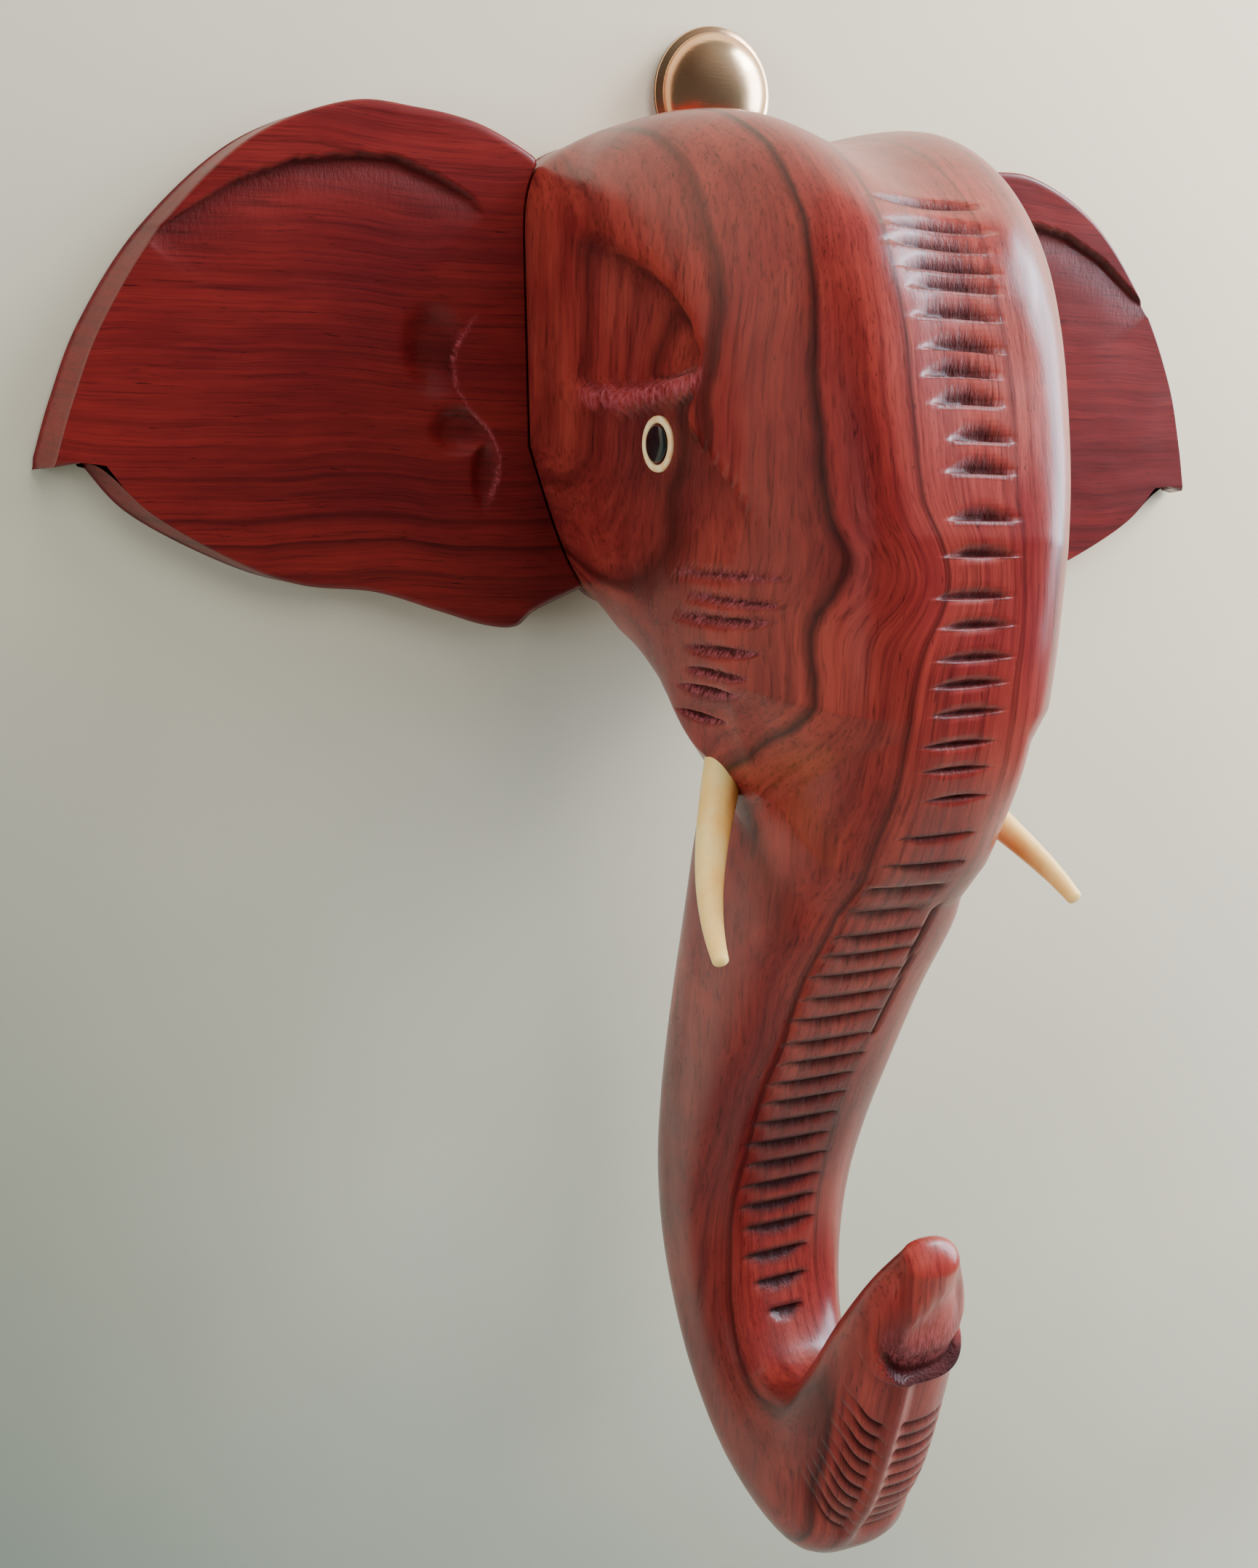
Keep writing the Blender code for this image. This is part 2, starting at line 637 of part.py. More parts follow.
    tang_half = TANG_WIDTH / 2.0
    boss_height = CROWN_RISE + BOSS_ABOVE_CROWN
    tang_foot = boss_height - TANG_LENGTH
    recess = box(
        "hanger_recess",
        (-tang_half - JOINT_GAP, -TANG_THICKNESS - 2.0 * JOINT_GAP, tang_foot - JOINT_GAP),
        (tang_half + JOINT_GAP, 0.002, boss_height),
        cutters,
    )
    combine(head, recess, "DIFFERENCE")

    boss_frame = Matrix.Translation(Vector((0.0, 0.0, boss_height))) @ Matrix.Rotation(math.pi / 2.0, 4, "X")
    rings = []
    dome_steps = 6
    profile = [(BOSS_RADIUS, JOINT_GAP)]
    for step in range(dome_steps):
        angle = 0.5 * math.pi * step / dome_steps
        profile.append((BOSS_RADIUS * math.cos(angle), 0.0012 + BOSS_HEIGHT * math.sin(angle)))
    for radius, height in profile:
        ring = []
        for step in range(28):
            angle = 2.0 * math.pi * step / 28
            ring.append(boss_frame @ Vector((radius * math.cos(angle), radius * math.sin(angle), height)))
        rings.append(ring)
    hanger = loft("hanger", rings, parts)
    hanger.data.materials.append(brass)
    tang = box(
        "hanger_tang",
        (-tang_half, -TANG_THICKNESS - JOINT_GAP, tang_foot),
        (tang_half, -JOINT_GAP, boss_height),
        cutters,
    )
    combine(hanger, tang, "UNION")

    for thing in cutters.objects:
        thing.hide_render = True
        thing.display_type = "WIRE"


build()
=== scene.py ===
# %% [markdown]
# # A carved elephant head for the wall
# The object is a souvenir carving: one block of dark red wood for the head and trunk, two flat
# ears beside it, two cream tusks, inlaid eyes and a brass boss to hang it from.
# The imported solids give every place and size. This lesson dresses them with finely carved
# surfaces, worked out as whole arrays, and with finishes that are all made from nodes.

# %% Load the solids
import math

import bpy
import numpy as np
from mathutils import Matrix, Vector


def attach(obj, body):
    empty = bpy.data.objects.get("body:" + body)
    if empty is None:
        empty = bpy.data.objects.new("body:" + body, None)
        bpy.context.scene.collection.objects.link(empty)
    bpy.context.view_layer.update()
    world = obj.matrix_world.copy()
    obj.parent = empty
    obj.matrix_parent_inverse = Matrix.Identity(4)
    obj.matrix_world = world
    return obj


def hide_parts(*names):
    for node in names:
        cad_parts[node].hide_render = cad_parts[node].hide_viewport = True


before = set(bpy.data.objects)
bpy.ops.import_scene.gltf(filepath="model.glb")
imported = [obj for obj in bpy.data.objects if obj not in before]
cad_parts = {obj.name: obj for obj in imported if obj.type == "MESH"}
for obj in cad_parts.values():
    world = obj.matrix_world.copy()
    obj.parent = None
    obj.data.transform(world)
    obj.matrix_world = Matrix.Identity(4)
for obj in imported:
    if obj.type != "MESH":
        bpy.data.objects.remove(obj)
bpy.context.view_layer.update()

print("solids:", sorted(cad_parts))

# %% [markdown]
# ## The viewpoint
# The photograph was taken with a phone held close, a little to the left of the carving, at the
# height of its brow and tipped down. A short distance makes the trunk swell toward the viewer.
# The camera is written as a place and three turns, because that is how it was found: by lining
# up the outline of the solids with the outline of the carving.

# %% Camera
CAMERA_PLACE = (-0.1187, -0.2682, 0.01973)
CAMERA_YAW = 0.38768
CAMERA_PITCH = -0.278225
CAMERA_ROLL = 0.050797
FOCAL_PIXELS = 2000.0
PICTURE_LONG_SIDE = 2156.0
SENSOR_LONG_SIDE = 36.0

level_share = math.cos(CAMERA_PITCH)
ahead = Vector((
    math.sin(CAMERA_YAW) * level_share,
    math.cos(CAMERA_YAW) * level_share,
    math.sin(CAMERA_PITCH),
))
level = Vector((math.cos(CAMERA_YAW), -math.sin(CAMERA_YAW), 0.0))
upright = level.cross(ahead)
right = level * math.cos(CAMERA_ROLL) + upright * math.sin(CAMERA_ROLL)
up = upright * math.cos(CAMERA_ROLL) - level * math.sin(CAMERA_ROLL)
camera_data = bpy.data.cameras.new("camera")
camera_data.sensor_width = SENSOR_LONG_SIDE
camera_data.lens = SENSOR_LONG_SIDE * FOCAL_PIXELS / PICTURE_LONG_SIDE
camera_data.clip_start = 0.01
camera = bpy.data.objects.new("camera", camera_data)
camera.matrix_world = Matrix.Translation(CAMERA_PLACE) @ Matrix((right, up, -ahead)).transposed().to_4x4()
bpy.context.scene.collection.objects.link(camera)
bpy.context.scene.camera = camera
print("lens %.1f mm" % camera_data.lens)

# %% [markdown]
# ## Small tools for shapes
# Every piece below is a grid of points. One helper eases a value between limits, two lay a
# smooth curve through a few rows of numbers, and one measures how far points lie from a drawn
# line and on which side. They all take whole arrays, so no vertex is visited one by one.

# %% Curve helpers
def smooth(low, high, value):
    """Ease from 0 at low to 1 at high, which may be the smaller: 3t^2 - 2t^3 of the share t."""
    share = np.clip((value - low) / (high - low), 0.0, 1.0)
    return share * share * (3.0 - 2.0 * share)


def curve_through(rows, places):
    """Hermite curve through rows; a whole number is the row itself, tangents span its neighbours."""
    rows = np.asarray(rows, float)
    places = np.asarray(places, float)
    last = len(rows) - 1
    index = np.clip(places.astype(int), 0, last - 1)
    t = (places - index)[..., None]
    start, end = rows[index], rows[index + 1]
    before, after = rows[np.maximum(index - 1, 0)], rows[np.minimum(index + 2, last)]
    leaving = (end - before) * np.where(index > 0, 0.5, 1.0)[..., None]
    arriving = (after - start) * np.where(index + 2 <= last, 0.5, 1.0)[..., None]
    mixed = start * (2 * t**3 - 3 * t**2 + 1) + end * (3 * t**2 - 2 * t**3)
    return mixed + leaving * (t**3 - 2 * t**2 + t) + arriving * (t**3 - t**2)


def even_curve(rows, count):
    """Points an equal distance apart on the smooth curve through rows."""
    fine = curve_through(rows, np.linspace(0.0, len(rows) - 1.0, 40 * len(rows)))
    run = np.concatenate([[0.0], np.cumsum(np.linalg.norm(np.diff(fine, axis=0), axis=1))])
    goals = np.linspace(0.0, run[-1], count)
    return np.stack([np.interp(goals, run, fine[:, axis]) for axis in range(fine.shape[1])], axis=1)


def from_line(a, b, line):
    """Distance of points (a, b) from a drawn line, the side they lie on, and the share of its run.

    The side is plus one on the right of the way that the line runs, and minus one on the left.
    """
    line = np.asarray(line, float)
    best = np.full(np.shape(a), 1e9)
    sign = np.ones(np.shape(a))
    share = np.zeros(np.shape(a))
    for number, (start, end) in enumerate(zip(line, line[1:])):
        step = end - start
        t = np.clip(((a - start[0]) * step[0] + (b - start[1]) * step[1]) / (step @ step), 0.0, 1.0)
        da, db = a - start[0] - t * step[0], b - start[1] - t * step[1]
        far = np.hypot(da, db)
        nearer = far < best
        best = np.where(nearer, far, best)
        sign = np.where(nearer, np.sign(step[1] * da - step[0] * db + 1e-12), sign)
        share = np.where(nearer, (number + t) / (len(line) - 1), share)
    return best, sign, share


# %% Mesh helpers
def ring_quads(rows, columns):
    """Corner numbers of the quads that join each ring of a grid to the next."""
    row = np.arange(rows - 1)[:, None] * columns
    column = np.arange(columns)[None, :]
    beside = (column + 1) % columns
    corners = (row + column, row + beside, row + columns + beside, row + columns + column)
    return np.stack(corners, axis=-1).reshape(-1, 4)


def surface(name, grid, finish, caps=True, layers=None):
    """Skin a grid of points: rows become rings, joined to the next row, with a fan at each end."""
    rows, columns = grid.shape[:2]
    points = grid.reshape(-1, 3)
    quads = ring_quads(rows, columns)
    fans = np.zeros((0, 3), int)
    if caps:
        points = np.concatenate([points, grid[:1].mean(axis=1), grid[-1:].mean(axis=1)])
        first, last = rows * columns, rows * columns + 1
        ring = np.arange(columns)
        after = (ring + 1) % columns
        base = (rows - 1) * columns
        low = np.stack([np.full(columns, first), after, ring], axis=1)
        high = np.stack([np.full(columns, last), base + ring, base + after], axis=1)
        fans = np.concatenate([low, high])
    return skin(name, points, quads, fans, finish, layers)


def skin(name, points, quads, triangles, finish, layers=None):
    """Make an object at the origin; faces are turned round if the volume they enclose is negative."""
    whole = np.concatenate([quads[:, [0, 1, 2]], quads[:, [0, 2, 3]], triangles])
    a, b, c = points[whole[:, 0]], points[whole[:, 1]], points[whole[:, 2]]
    if np.einsum("ij,ij->i", a, np.cross(b, c)).sum() < 0.0:
        quads, triangles = quads[:, ::-1], triangles[:, ::-1]
    mesh = bpy.data.meshes.new(name)
    mesh.vertices.add(len(points))
    mesh.vertices.foreach_set("co", points.astype(np.float32).ravel())
    corners = np.concatenate([quads.ravel(), triangles.ravel()])
    starts = np.concatenate([np.arange(len(quads)) * 4, 4 * len(quads) + np.arange(len(triangles)) * 3])
    mesh.loops.add(len(corners))
    mesh.loops.foreach_set("vertex_index", corners.astype(np.int32))
    mesh.polygons.add(len(starts))
    mesh.polygons.foreach_set("loop_start", starts.astype(np.int32))
    mesh.update(calc_edges=True)
    mesh.shade_smooth()
    for layer, values in (layers or {}).items():
        kept = np.zeros(len(points), np.float32)
        kept[: values.size] = values.ravel()
        mesh.attributes.new(layer, "FLOAT", "POINT").data.foreach_set("value", kept)
    mesh.validate()
    mesh.materials.append(finish)
    thing = bpy.data.objects.new(name, mesh)
    bpy.context.scene.collection.objects.link(thing)
    print(name, len(quads) * 2 + len(triangles), "triangles")
    return thing


# %% [markdown]
# ## Small tools for finishes
# A finish here is a chain of nodes that reads the place on the object, bends it a little with
# noise, and turns it into colour, gloss and relief. Short helpers keep each finish readable:
# they add a node with its inputs, do arithmetic, make a ramp, mix colours, stretch a noise, and
# read the place on the object or a number that the mesh carries at each point.

# %% Node helpers
def new_finish(name, roughness, **constants):
    """Start a material and give back its node tree and its main shader."""
    finish = bpy.data.materials.new(name)
    finish.use_nodes = True
    shader = finish.node_tree.nodes["Principled BSDF"]
    shader.inputs["Roughness"].default_value = roughness
    for socket, value in constants.items():
        shader.inputs[socket.replace("_", " ")].default_value = value
    return finish, finish.node_tree, shader


def add(tree, kind, settings=None, **inputs):
    """Add one node; an input is a number, a tuple or another node's output, and i0 is the first."""
    node = tree.nodes.new(kind)
    for key, value in (settings or {}).items():
        setattr(node, key, value)
    for key, value in inputs.items():
        numbered = key[0] == "i" and key[1:].isdigit()
        socket = node.inputs[int(key[1:]) if numbered else key]
        if isinstance(value, bpy.types.NodeSocket):
            tree.links.new(value, socket)
        else:
            socket.default_value = value
    return node


def sums(tree, operation, first, second=0.0, third=0.0, clamp=False):
    """One step of arithmetic between numbers or outputs."""
    settings = {"operation": operation, "use_clamp": clamp}
    return add(tree, "ShaderNodeMath", settings, i0=first, i1=second, i2=third).outputs[0]


def ramp(tree, value, stops):
    """Colours or greys along a value from 0 to 1."""
    node = add(tree, "ShaderNodeValToRGB", i0=value)
    band = node.color_ramp
    while len(band.elements) < len(stops):
        band.elements.new(0.5)
    for element, (place, colour) in zip(band.elements, stops):
        element.position = place
        element.color = (*colour, 1.0) if isinstance(colour, tuple) else (colour, colour, colour, 1.0)
    return node.outputs[0]


def blend_colours(tree, share, first, second):
    """Mix two colours by a share."""
    node = add(tree, "ShaderNodeMix", {"data_type": "RGBA"}, i0=share)
    for socket, value in ((node.inputs[6], first), (node.inputs[7], second)):
        if isinstance(value, bpy.types.NodeSocket):
            tree.links.new(value, socket)
        else:
            socket.default_value = (*value, 1.0)
    return node.outputs[2]


def noise(tree, place, stretch, detail=3.0, roughness=0.5):
    """Noise whose pattern is stretched: cycles per metre along x, y and z."""
    scaled = add(tree, "ShaderNodeVectorMath", {"operation": "MULTIPLY"}, i0=place, i1=stretch).outputs[0]
    node = add(tree, "ShaderNodeTexNoise", Vector=scaled, Scale=1.0, Detail=detail, Roughness=roughness)
    return node.outputs[0]


def object_place(tree):
    """Where the point lies on the object, in metres."""
    return add(tree, "ShaderNodeTexCoord").outputs["Object"]


def carried(tree, layer):
    """One of the numbers that the mesh carries at each point."""
    return add(tree, "ShaderNodeAttribute", {"attribute_name": layer}).outputs["Fac"]


def bump(tree, height, strength, distance, **under):
    """Relief of a height, in metres at most, laid over the relief given as Normal if there is one."""
    node = add(tree, "ShaderNodeBump", Strength=strength, Distance=distance, Height=height, **under)
    return node.outputs[0]


# %% [markdown]
# ## The wood of the head
# The carving is rosewood under a thin satin varnish: red-brown to orange, with growth layers
# that stand nearly upright and show as almost black wavy lines. The layers are flat sheets side
# by side, so the pattern depends mostly on the distance across the block. Noise bends the
# sheets. Where a rounded surface cuts them, they turn into the long loops of real timber.
# The blade left dark, dry wood in the cuts, and painted shade is laid into the cuts and hollows
# too. Low on the trunk the wood is painted darker, as shade away from the light above. The mesh
# carries how deep each point was cut, with that painted shade, and the painted shade low down.

# %% Grain
GRAIN_SPAN = 0.080
SLOW_BEND = 0.0070
QUICK_BEND = 0.0010
KNOT_PULL = 0.0050
KNOT_TIGHTNESS = (85.0, 130.0)


def dark_lines(places):
    """Ramp stops for thin lines at places in mm: each darkens over 1 mm and ends within 0.3 mm."""
    stops = []
    for place, strength in places:
        middle = 0.5 + place / (1000.0 * GRAIN_SPAN)
        stops += [(middle - 0.013, 0.0), (middle, strength), (middle + 0.004, 0.0)]
    return stops


def bent_across(tree, turned, parts, knot):
    """Place across the sheets: x plus slow and quick noise, less a bell curve round the knot."""
    slow = noise(tree, turned, (20.0, 9.0, 22.0), 1.5)
    quick = noise(tree, turned, (80.0, 40.0, 90.0), 3.0)
    bent = sums(tree, "MULTIPLY_ADD", slow, SLOW_BEND, parts.outputs[0])
    bent = sums(tree, "MULTIPLY_ADD", quick, QUICK_BEND, bent)
    tight_x, tight_z = KNOT_TIGHTNESS
    knot_x = sums(tree, "MULTIPLY_ADD", parts.outputs[0], tight_x, -tight_x * knot[0])
    knot_z = sums(tree, "MULTIPLY_ADD", parts.outputs[2], tight_z, -tight_z * knot[1])
    away = sums(tree, "MULTIPLY_ADD", knot_x, knot_x, sums(tree, "MULTIPLY", knot_z, knot_z))
    pull = sums(tree, "POWER", 2.718, sums(tree, "MULTIPLY", away, -1.0))
    return sums(tree, "MULTIPLY_ADD", pull, -KNOT_PULL, bent)


# %% Rosewood
def rosewood(name, lines, deep, middle, warm, turn, roughness, knot, streaks):
    """Layered wood: a bent place across the sheets drives dark lines and streaks, under fine pores."""
    varnish = {"Coat_Weight": 0.12, "Coat_Roughness": 0.15, "Specular_IOR_Level": 0.36}
    finish, tree, shader = new_finish(name, roughness, **varnish)
    place = object_place(tree)
    turned = add(tree, "ShaderNodeMapping", {"vector_type": "POINT"}, Vector=place, Rotation=turn).outputs[0]
    parts = add(tree, "ShaderNodeSeparateXYZ", i0=turned)
    bent = bent_across(tree, turned, parts, knot)
    mean_bend = 0.5 * (SLOW_BEND + QUICK_BEND)
    across = sums(tree, "MULTIPLY_ADD", bent, 1.0 / GRAIN_SPAN, 0.5 - mean_bend / GRAIN_SPAN)
    line_share = ramp(tree, across, dark_lines(lines))
    sheets = add(tree, "ShaderNodeCombineXYZ", i0=bent, i1=parts.outputs[1], i2=parts.outputs[2]).outputs[0]
    fine = noise(tree, sheets, (900.0, 60.0, 16.0), 4.0, 0.65)
    hair = noise(tree, sheets, (3200.0, 900.0, 70.0), 2.0, 0.6)
    pores = noise(tree, turned, (2600.0, 2600.0, 260.0), 2.0, 0.5)
    cloud = noise(tree, sheets, (60.0, 30.0, 22.0), 4.0, 0.65)
    colour = blend_colours(tree, ramp(tree, cloud, ((0.34, 0.0), (0.66, 1.0))), middle, warm)
    colour = blend_colours(tree, ramp(tree, fine, ((0.36, streaks), (0.60, 0.0))), colour, deep)
    dark = tuple(0.14 * value for value in deep)
    colour = blend_colours(tree, line_share, colour, dark)
    colour = blend_colours(tree, ramp(tree, hair, ((0.30, 0.45), (0.48, 0.0))), colour, dark)
    colour = blend_colours(tree, ramp(tree, pores, ((0.24, 0.75), (0.34, 0.0))), colour, dark)
    # Painted shade: the cut number darkens the cuts, as dry wood and as shade in the hollows, and the third
    # number darkens the lower trunk as shade; both mix the colour toward a dark tone below.
    cut, burr_and_highlight, low_trunk_shade = carried(tree, "cut"), carried(tree, "burr_and_highlight"), carried(tree, "low_trunk_shade")
    shade = sums(tree, "MULTIPLY_ADD", low_trunk_shade, 0.30, sums(tree, "MULTIPLY", cut, 0.88), clamp=True)
    colour = blend_colours(tree, shade, colour, tuple(0.30 * value for value in deep))
    torn = noise(tree, place, (1500.0, 1500.0, 500.0), 3.0, 0.7)
    # Pale torn fibres, with painted highlights on the eyelid ledge, the finger's face and the ear ridges.
    pale_fibre_and_highlight = sums(tree, "MULTIPLY", burr_and_highlight, ramp(tree, torn, ((0.40, 0.0), (0.62, 1.0))), clamp=True)
    colour = blend_colours(tree, pale_fibre_and_highlight, colour, (0.36, 0.075, 0.095))
    tree.links.new(colour, shader.inputs["Base Color"])
    dull = sums(tree, "MULTIPLY_ADD", cut, 0.50, roughness)
    dull = sums(tree, "MULTIPLY_ADD", fine, 0.14, sums(tree, "SUBTRACT", dull, 0.07))
    tree.links.new(dull, shader.inputs["Roughness"])
    relief = sums(tree, "MULTIPLY_ADD", pores, 0.5, sums(tree, "MULTIPLY", hair, 0.5))
    fibres = sums(tree, "MULTIPLY", cut, torn)
    waves = noise(tree, turned, (120.0, 120.0, 70.0), 1.0)
    grained = bump(tree, relief, 0.35, 0.00008)
    torn_up = bump(tree, fibres, 0.8, 0.0005, Normal=grained)
    tree.links.new(bump(tree, waves, 0.5, 0.0005, Normal=torn_up), shader.inputs["Normal"])
    tree.links.new(bump(tree, waves, 0.5, 0.0004), shader.inputs["Coat Normal"])
    return finish


# %% Wood of the head
HEAD_LINES = (
    (-33.0, 0.45), (-27.0, 0.8), (-20.5, 0.95), (-10.5, 0.8), (-4.5, 0.35),
    (6.5, 0.45), (14.0, 0.5), (22.0, 0.7), (31.0, 0.7),
)
head_wood = rosewood(
    "rosewood",
    lines=HEAD_LINES,
    deep=(0.075, 0.0055, 0.0085),
    middle=(0.185, 0.0130, 0.0150),
    warm=(0.325, 0.046, 0.033),
    turn=(0.0, 0.0, 0.0),
    roughness=0.29,
    knot=(-0.0085, -0.0055),
    streaks=0.55,
)
print("head wood:", len(head_wood.node_tree.nodes), "nodes")

# %% [markdown]
# ## The block of the head
# The head and trunk are one long tube of sections that starts on the wall, goes over the crown
# and down the nose, and ends at the curled tip. Each station in the table is a front point, a
# back point, a width, how square the section is and how far the twin domes rise. The outline of
# a section is a superellipse. The depths and heights are shares of the head's depth, its rise
# above the ears' notches and the drop of the trunk, as they are in the solids.

# %% Stations
HEAD_DEPTH = 0.103
CROWN_RISE = 0.056
TRUNK_DROP = 0.177
HEAD_HALF_WIDTH = 0.038
TRUNK_HALF_WIDTH = 0.0172
JOINT_GAP = 0.0003

# front depth, front height, back depth, back height, trunk width, squareness front and back, dome
SKULL = np.array((
    (0.000, 0.98, 0.000, -0.147, 1.00, 10.0, 6.0, 0.060),
    (0.078, 0.98, 0.078, -0.147, 1.00, 10.0, 6.0, 0.060),
    (0.165, 1.01, 0.160, -0.154, 1.00, 6.0, 7.0, 0.065),
    (0.340, 1.01, 0.230, -0.162, 1.00, 4.6, 8.0, 0.075),
    (0.515, 0.97, 0.272, -0.166, 1.00, 3.6, 8.0, 0.090),
    (0.660, 0.88, 0.302, -0.169, 1.00, 3.4, 8.0, 0.090),
    (0.777, 0.75, 0.330, -0.172, 1.00, 3.8, 8.0, 0.060),
    (0.855, 0.58, 0.356, -0.175, 1.00, 4.6, 8.0, 0.030),
    (0.913, 0.36, 0.383, -0.178, 1.00, 5.6, 8.0, 0.010),
    (0.956, 0.16, 0.408, -0.181, 1.00, 6.0, 8.0, 0.000),
    (0.985, -0.028, 0.432, -0.184, 0.96, 5.4, 8.0, 0.000),
    (1.000, -0.113, 0.456, -0.187, 0.94, 4.6, 8.0, 0.000),
    (0.995, -0.192, 0.480, -0.190, 0.92, 3.9, 8.0, 0.000),
    (0.956, -0.263, 0.502, -0.193, 0.91, 3.7, 7.0, 0.000),
    (0.930, -0.290, 0.520, -0.198, 0.93, 3.8, 6.0, 0.000),
))
TRUNK = np.array((
    (0.874, -0.333, 0.427, -0.237, 0.95, 4.0, 4.0, 0.0),
    (0.845, -0.367, 0.408, -0.322, 0.99, 4.2, 4.2, 0.0),
    (0.777, -0.441, 0.384, -0.424, 0.99, 4.2, 4.2, 0.0),
    (0.699, -0.542, 0.364, -0.531, 1.00, 4.2, 4.2, 0.0),
    (0.641, -0.627, 0.350, -0.633, 1.00, 4.0, 4.0, 0.0),
    (0.612, -0.701, 0.350, -0.734, 0.97, 3.8, 3.8, 0.0),
    (0.621, -0.768, 0.388, -0.836, 0.90, 3.6, 3.6, 0.0),
    (0.660, -0.825, 0.500, -0.938, 0.81, 3.4, 3.4, 0.0),
    (0.728, -0.853, 0.680, -1.000, 0.74, 3.0, 3.0, 0.0),
    (0.806, -0.828, 0.893, -0.994, 0.69, 2.8, 2.8, 0.0),
    (0.859, -0.774, 1.000, -0.904, 0.64, 2.8, 2.8, 0.0),
    (0.917, -0.706, 1.049, -0.797, 0.58, 2.8, 2.8, 0.0),
    (0.981, -0.641, 1.073, -0.695, 0.50, 2.6, 2.6, 0.0),
    (1.024, -0.599, 1.073, -0.624, 0.30, 2.3, 2.3, 0.0),
))
FLAP = len(SKULL) - 1
TIP = FLAP + len(TRUNK)


# %% The surface before carving
def height_of(share):
    """A height share in metres: of the crown's rise above zero, of the trunk's drop below."""
    return share * np.where(share > 0.0, CROWN_RISE, TRUNK_DROP)


def skull_half_width(depth, height, least):
    """Half width of the skull's side, narrowing forward, toward the jaw and at the trunk's root."""
    wide = np.maximum(depth / HEAD_DEPTH - 0.078, 0.0)
    rise, drop = height / CROWN_RISE, -height / TRUNK_DROP
    jaw = 1.40 * np.maximum(drop + 0.028, 0.0) + 0.088 * np.maximum(0.79 - rise, 0.0)
    jaw = jaw * np.maximum(1.0 - 1.54 * wide, 0.0)
    root = 2.33 * np.maximum(drop - 0.141, 0.0) * smooth(0.44, 0.73, wide)
    share = 0.99 - 0.314 * wide - 0.293 * wide * wide - jaw - root
    return np.maximum(share * HEAD_HALF_WIDTH, least)


def station(place):
    """The row of numbers at a place: the skull's up to the flap, then the trunk's."""
    skull = curve_through(SKULL, np.clip(place, 0.0, FLAP))
    trunk = curve_through(TRUNK, np.clip(place - FLAP - 1.0, 0.0, len(TRUNK) - 1.0))
    between = np.clip(place - FLAP, 0.0, 1.0)[..., None]
    return skull * (1.0 - between) + trunk * between


def head_surface(place, angle):
    """Back point + share of the way to the front point, and |x|^n + |2 share - 1|^n = 1 across."""
    row = station(place)
    trunk_share = np.clip(place - FLAP, 0.0, 1.0)
    front = np.stack([-row[..., 0] * HEAD_DEPTH, height_of(row[..., 1])], axis=-1)
    back = np.stack([-row[..., 2] * HEAD_DEPTH, height_of(row[..., 3])], axis=-1)
    sine, cosine = np.sin(angle), np.cos(angle)
    square = np.where(cosine > 0.0, row[..., 6], row[..., 5])
    radius = (np.abs(cosine) ** square + np.abs(sine) ** square) ** (-1.0 / square)
    share = (1.0 - radius * cosine) / 2.0
    line = front - back
    spot = back + line * share[..., None]
    trunk_width = row[..., 4] * TRUNK_HALF_WIDTH
    skull_width = skull_half_width(-spot[..., 0], spot[..., 1], trunk_width)
    width = skull_width + (trunk_width - skull_width) * trunk_share
    x = -width * radius * sine
    hump = np.sin(np.pi * np.minimum(np.abs(x) / (1.1 * HEAD_HALF_WIDTH), 1.0)) ** 2
    lift = row[..., 7] * CROWN_RISE * hump * smooth(0.55, 0.95, share)
    spot = spot + line / np.linalg.norm(line, axis=-1, keepdims=True) * lift[..., None]
    return np.stack([x, spot[..., 0], spot[..., 1]], axis=-1)


# %% [markdown]
# ## Where the knife went
# The nose and trunk carry forty-three cross cuts. On the brow each one is a scoop that gets
# deeper downward and stops at a crisp lower edge. Below the tusks it is the other way round: a
# crisp upper edge with a ramp under it. The cuts between are narrow slits. Rings of the grid
# are set on the edges of every cut, so that its edges stay sharp with few faces.

# %% Cross cuts
CUT_HEIGHTS = np.array((
    43.0, 39.6, 36.9, 34.1, 31.5, 27.8, 23.6, 20.2, 16.6, 12.0, 7.9, 2.0, -2.7, -8.1, -12.0, -16.4,
    -20.0, -24.0, -28.5, -32.3, -36.8, -43.0, -48.0, -53.0, -57.5, -62.5, -66.5, -71.0, -76.0, -80.6,
    -86.0, -90.7, -95.3, -100.0, -105.0, -110.0, -115.0, -120.0, -124.6, -129.2, -134.5, -139.5, -144.5,
))
# where the cuts end on the left and on the right, by height
EDGE_HEIGHTS, LEFT_ENDS, RIGHT_ENDS = np.transpose((
    (-146.0, -4.2, 2.4), (-142.0, -6.1, 4.6), (-131.0, -8.2, 6.7), (-116.0, -10.4, 6.6), (-97.0, -10.2, 6.2),
    (-81.0, -10.6, 6.4), (-66.0, -11.0, 5.9), (-50.0, -9.2, 5.6), (-37.0, -6.6, 4.5), (-28.0, -7.6, 4.6),
    (-16.0, -7.4, 5.5), (-3.0, -6.6, 5.6), (12.0, -5.3, 5.1), (20.0, -7.3, 4.8), (24.0, -8.0, 5.4),
    (31.0, -8.5, 6.7), (37.0, -9.3, 7.5), (43.0, -11.0, 8.4),
))
# by depth below the ears' notches: a ramp's length, which way it leans and how deep a cut is
RAMP_BY_DROP = ((-16.0, 3.2), (4.0, 2.0), (40.0, 1.3), (50.0, 2.8), (115.0, 3.0), (145.0, 2.8))
LEAN_BY_DROP = ((-10.0, 1.0), (6.0, 0.6), (36.0, 0.1), (46.0, -1.0))
DEPTH_BY_DROP = ((-10.0, 1.4), (10.0, 1.1), (40.0, 1.2), (60.0, 1.9), (115.0, 1.7), (145.0, 1.2))

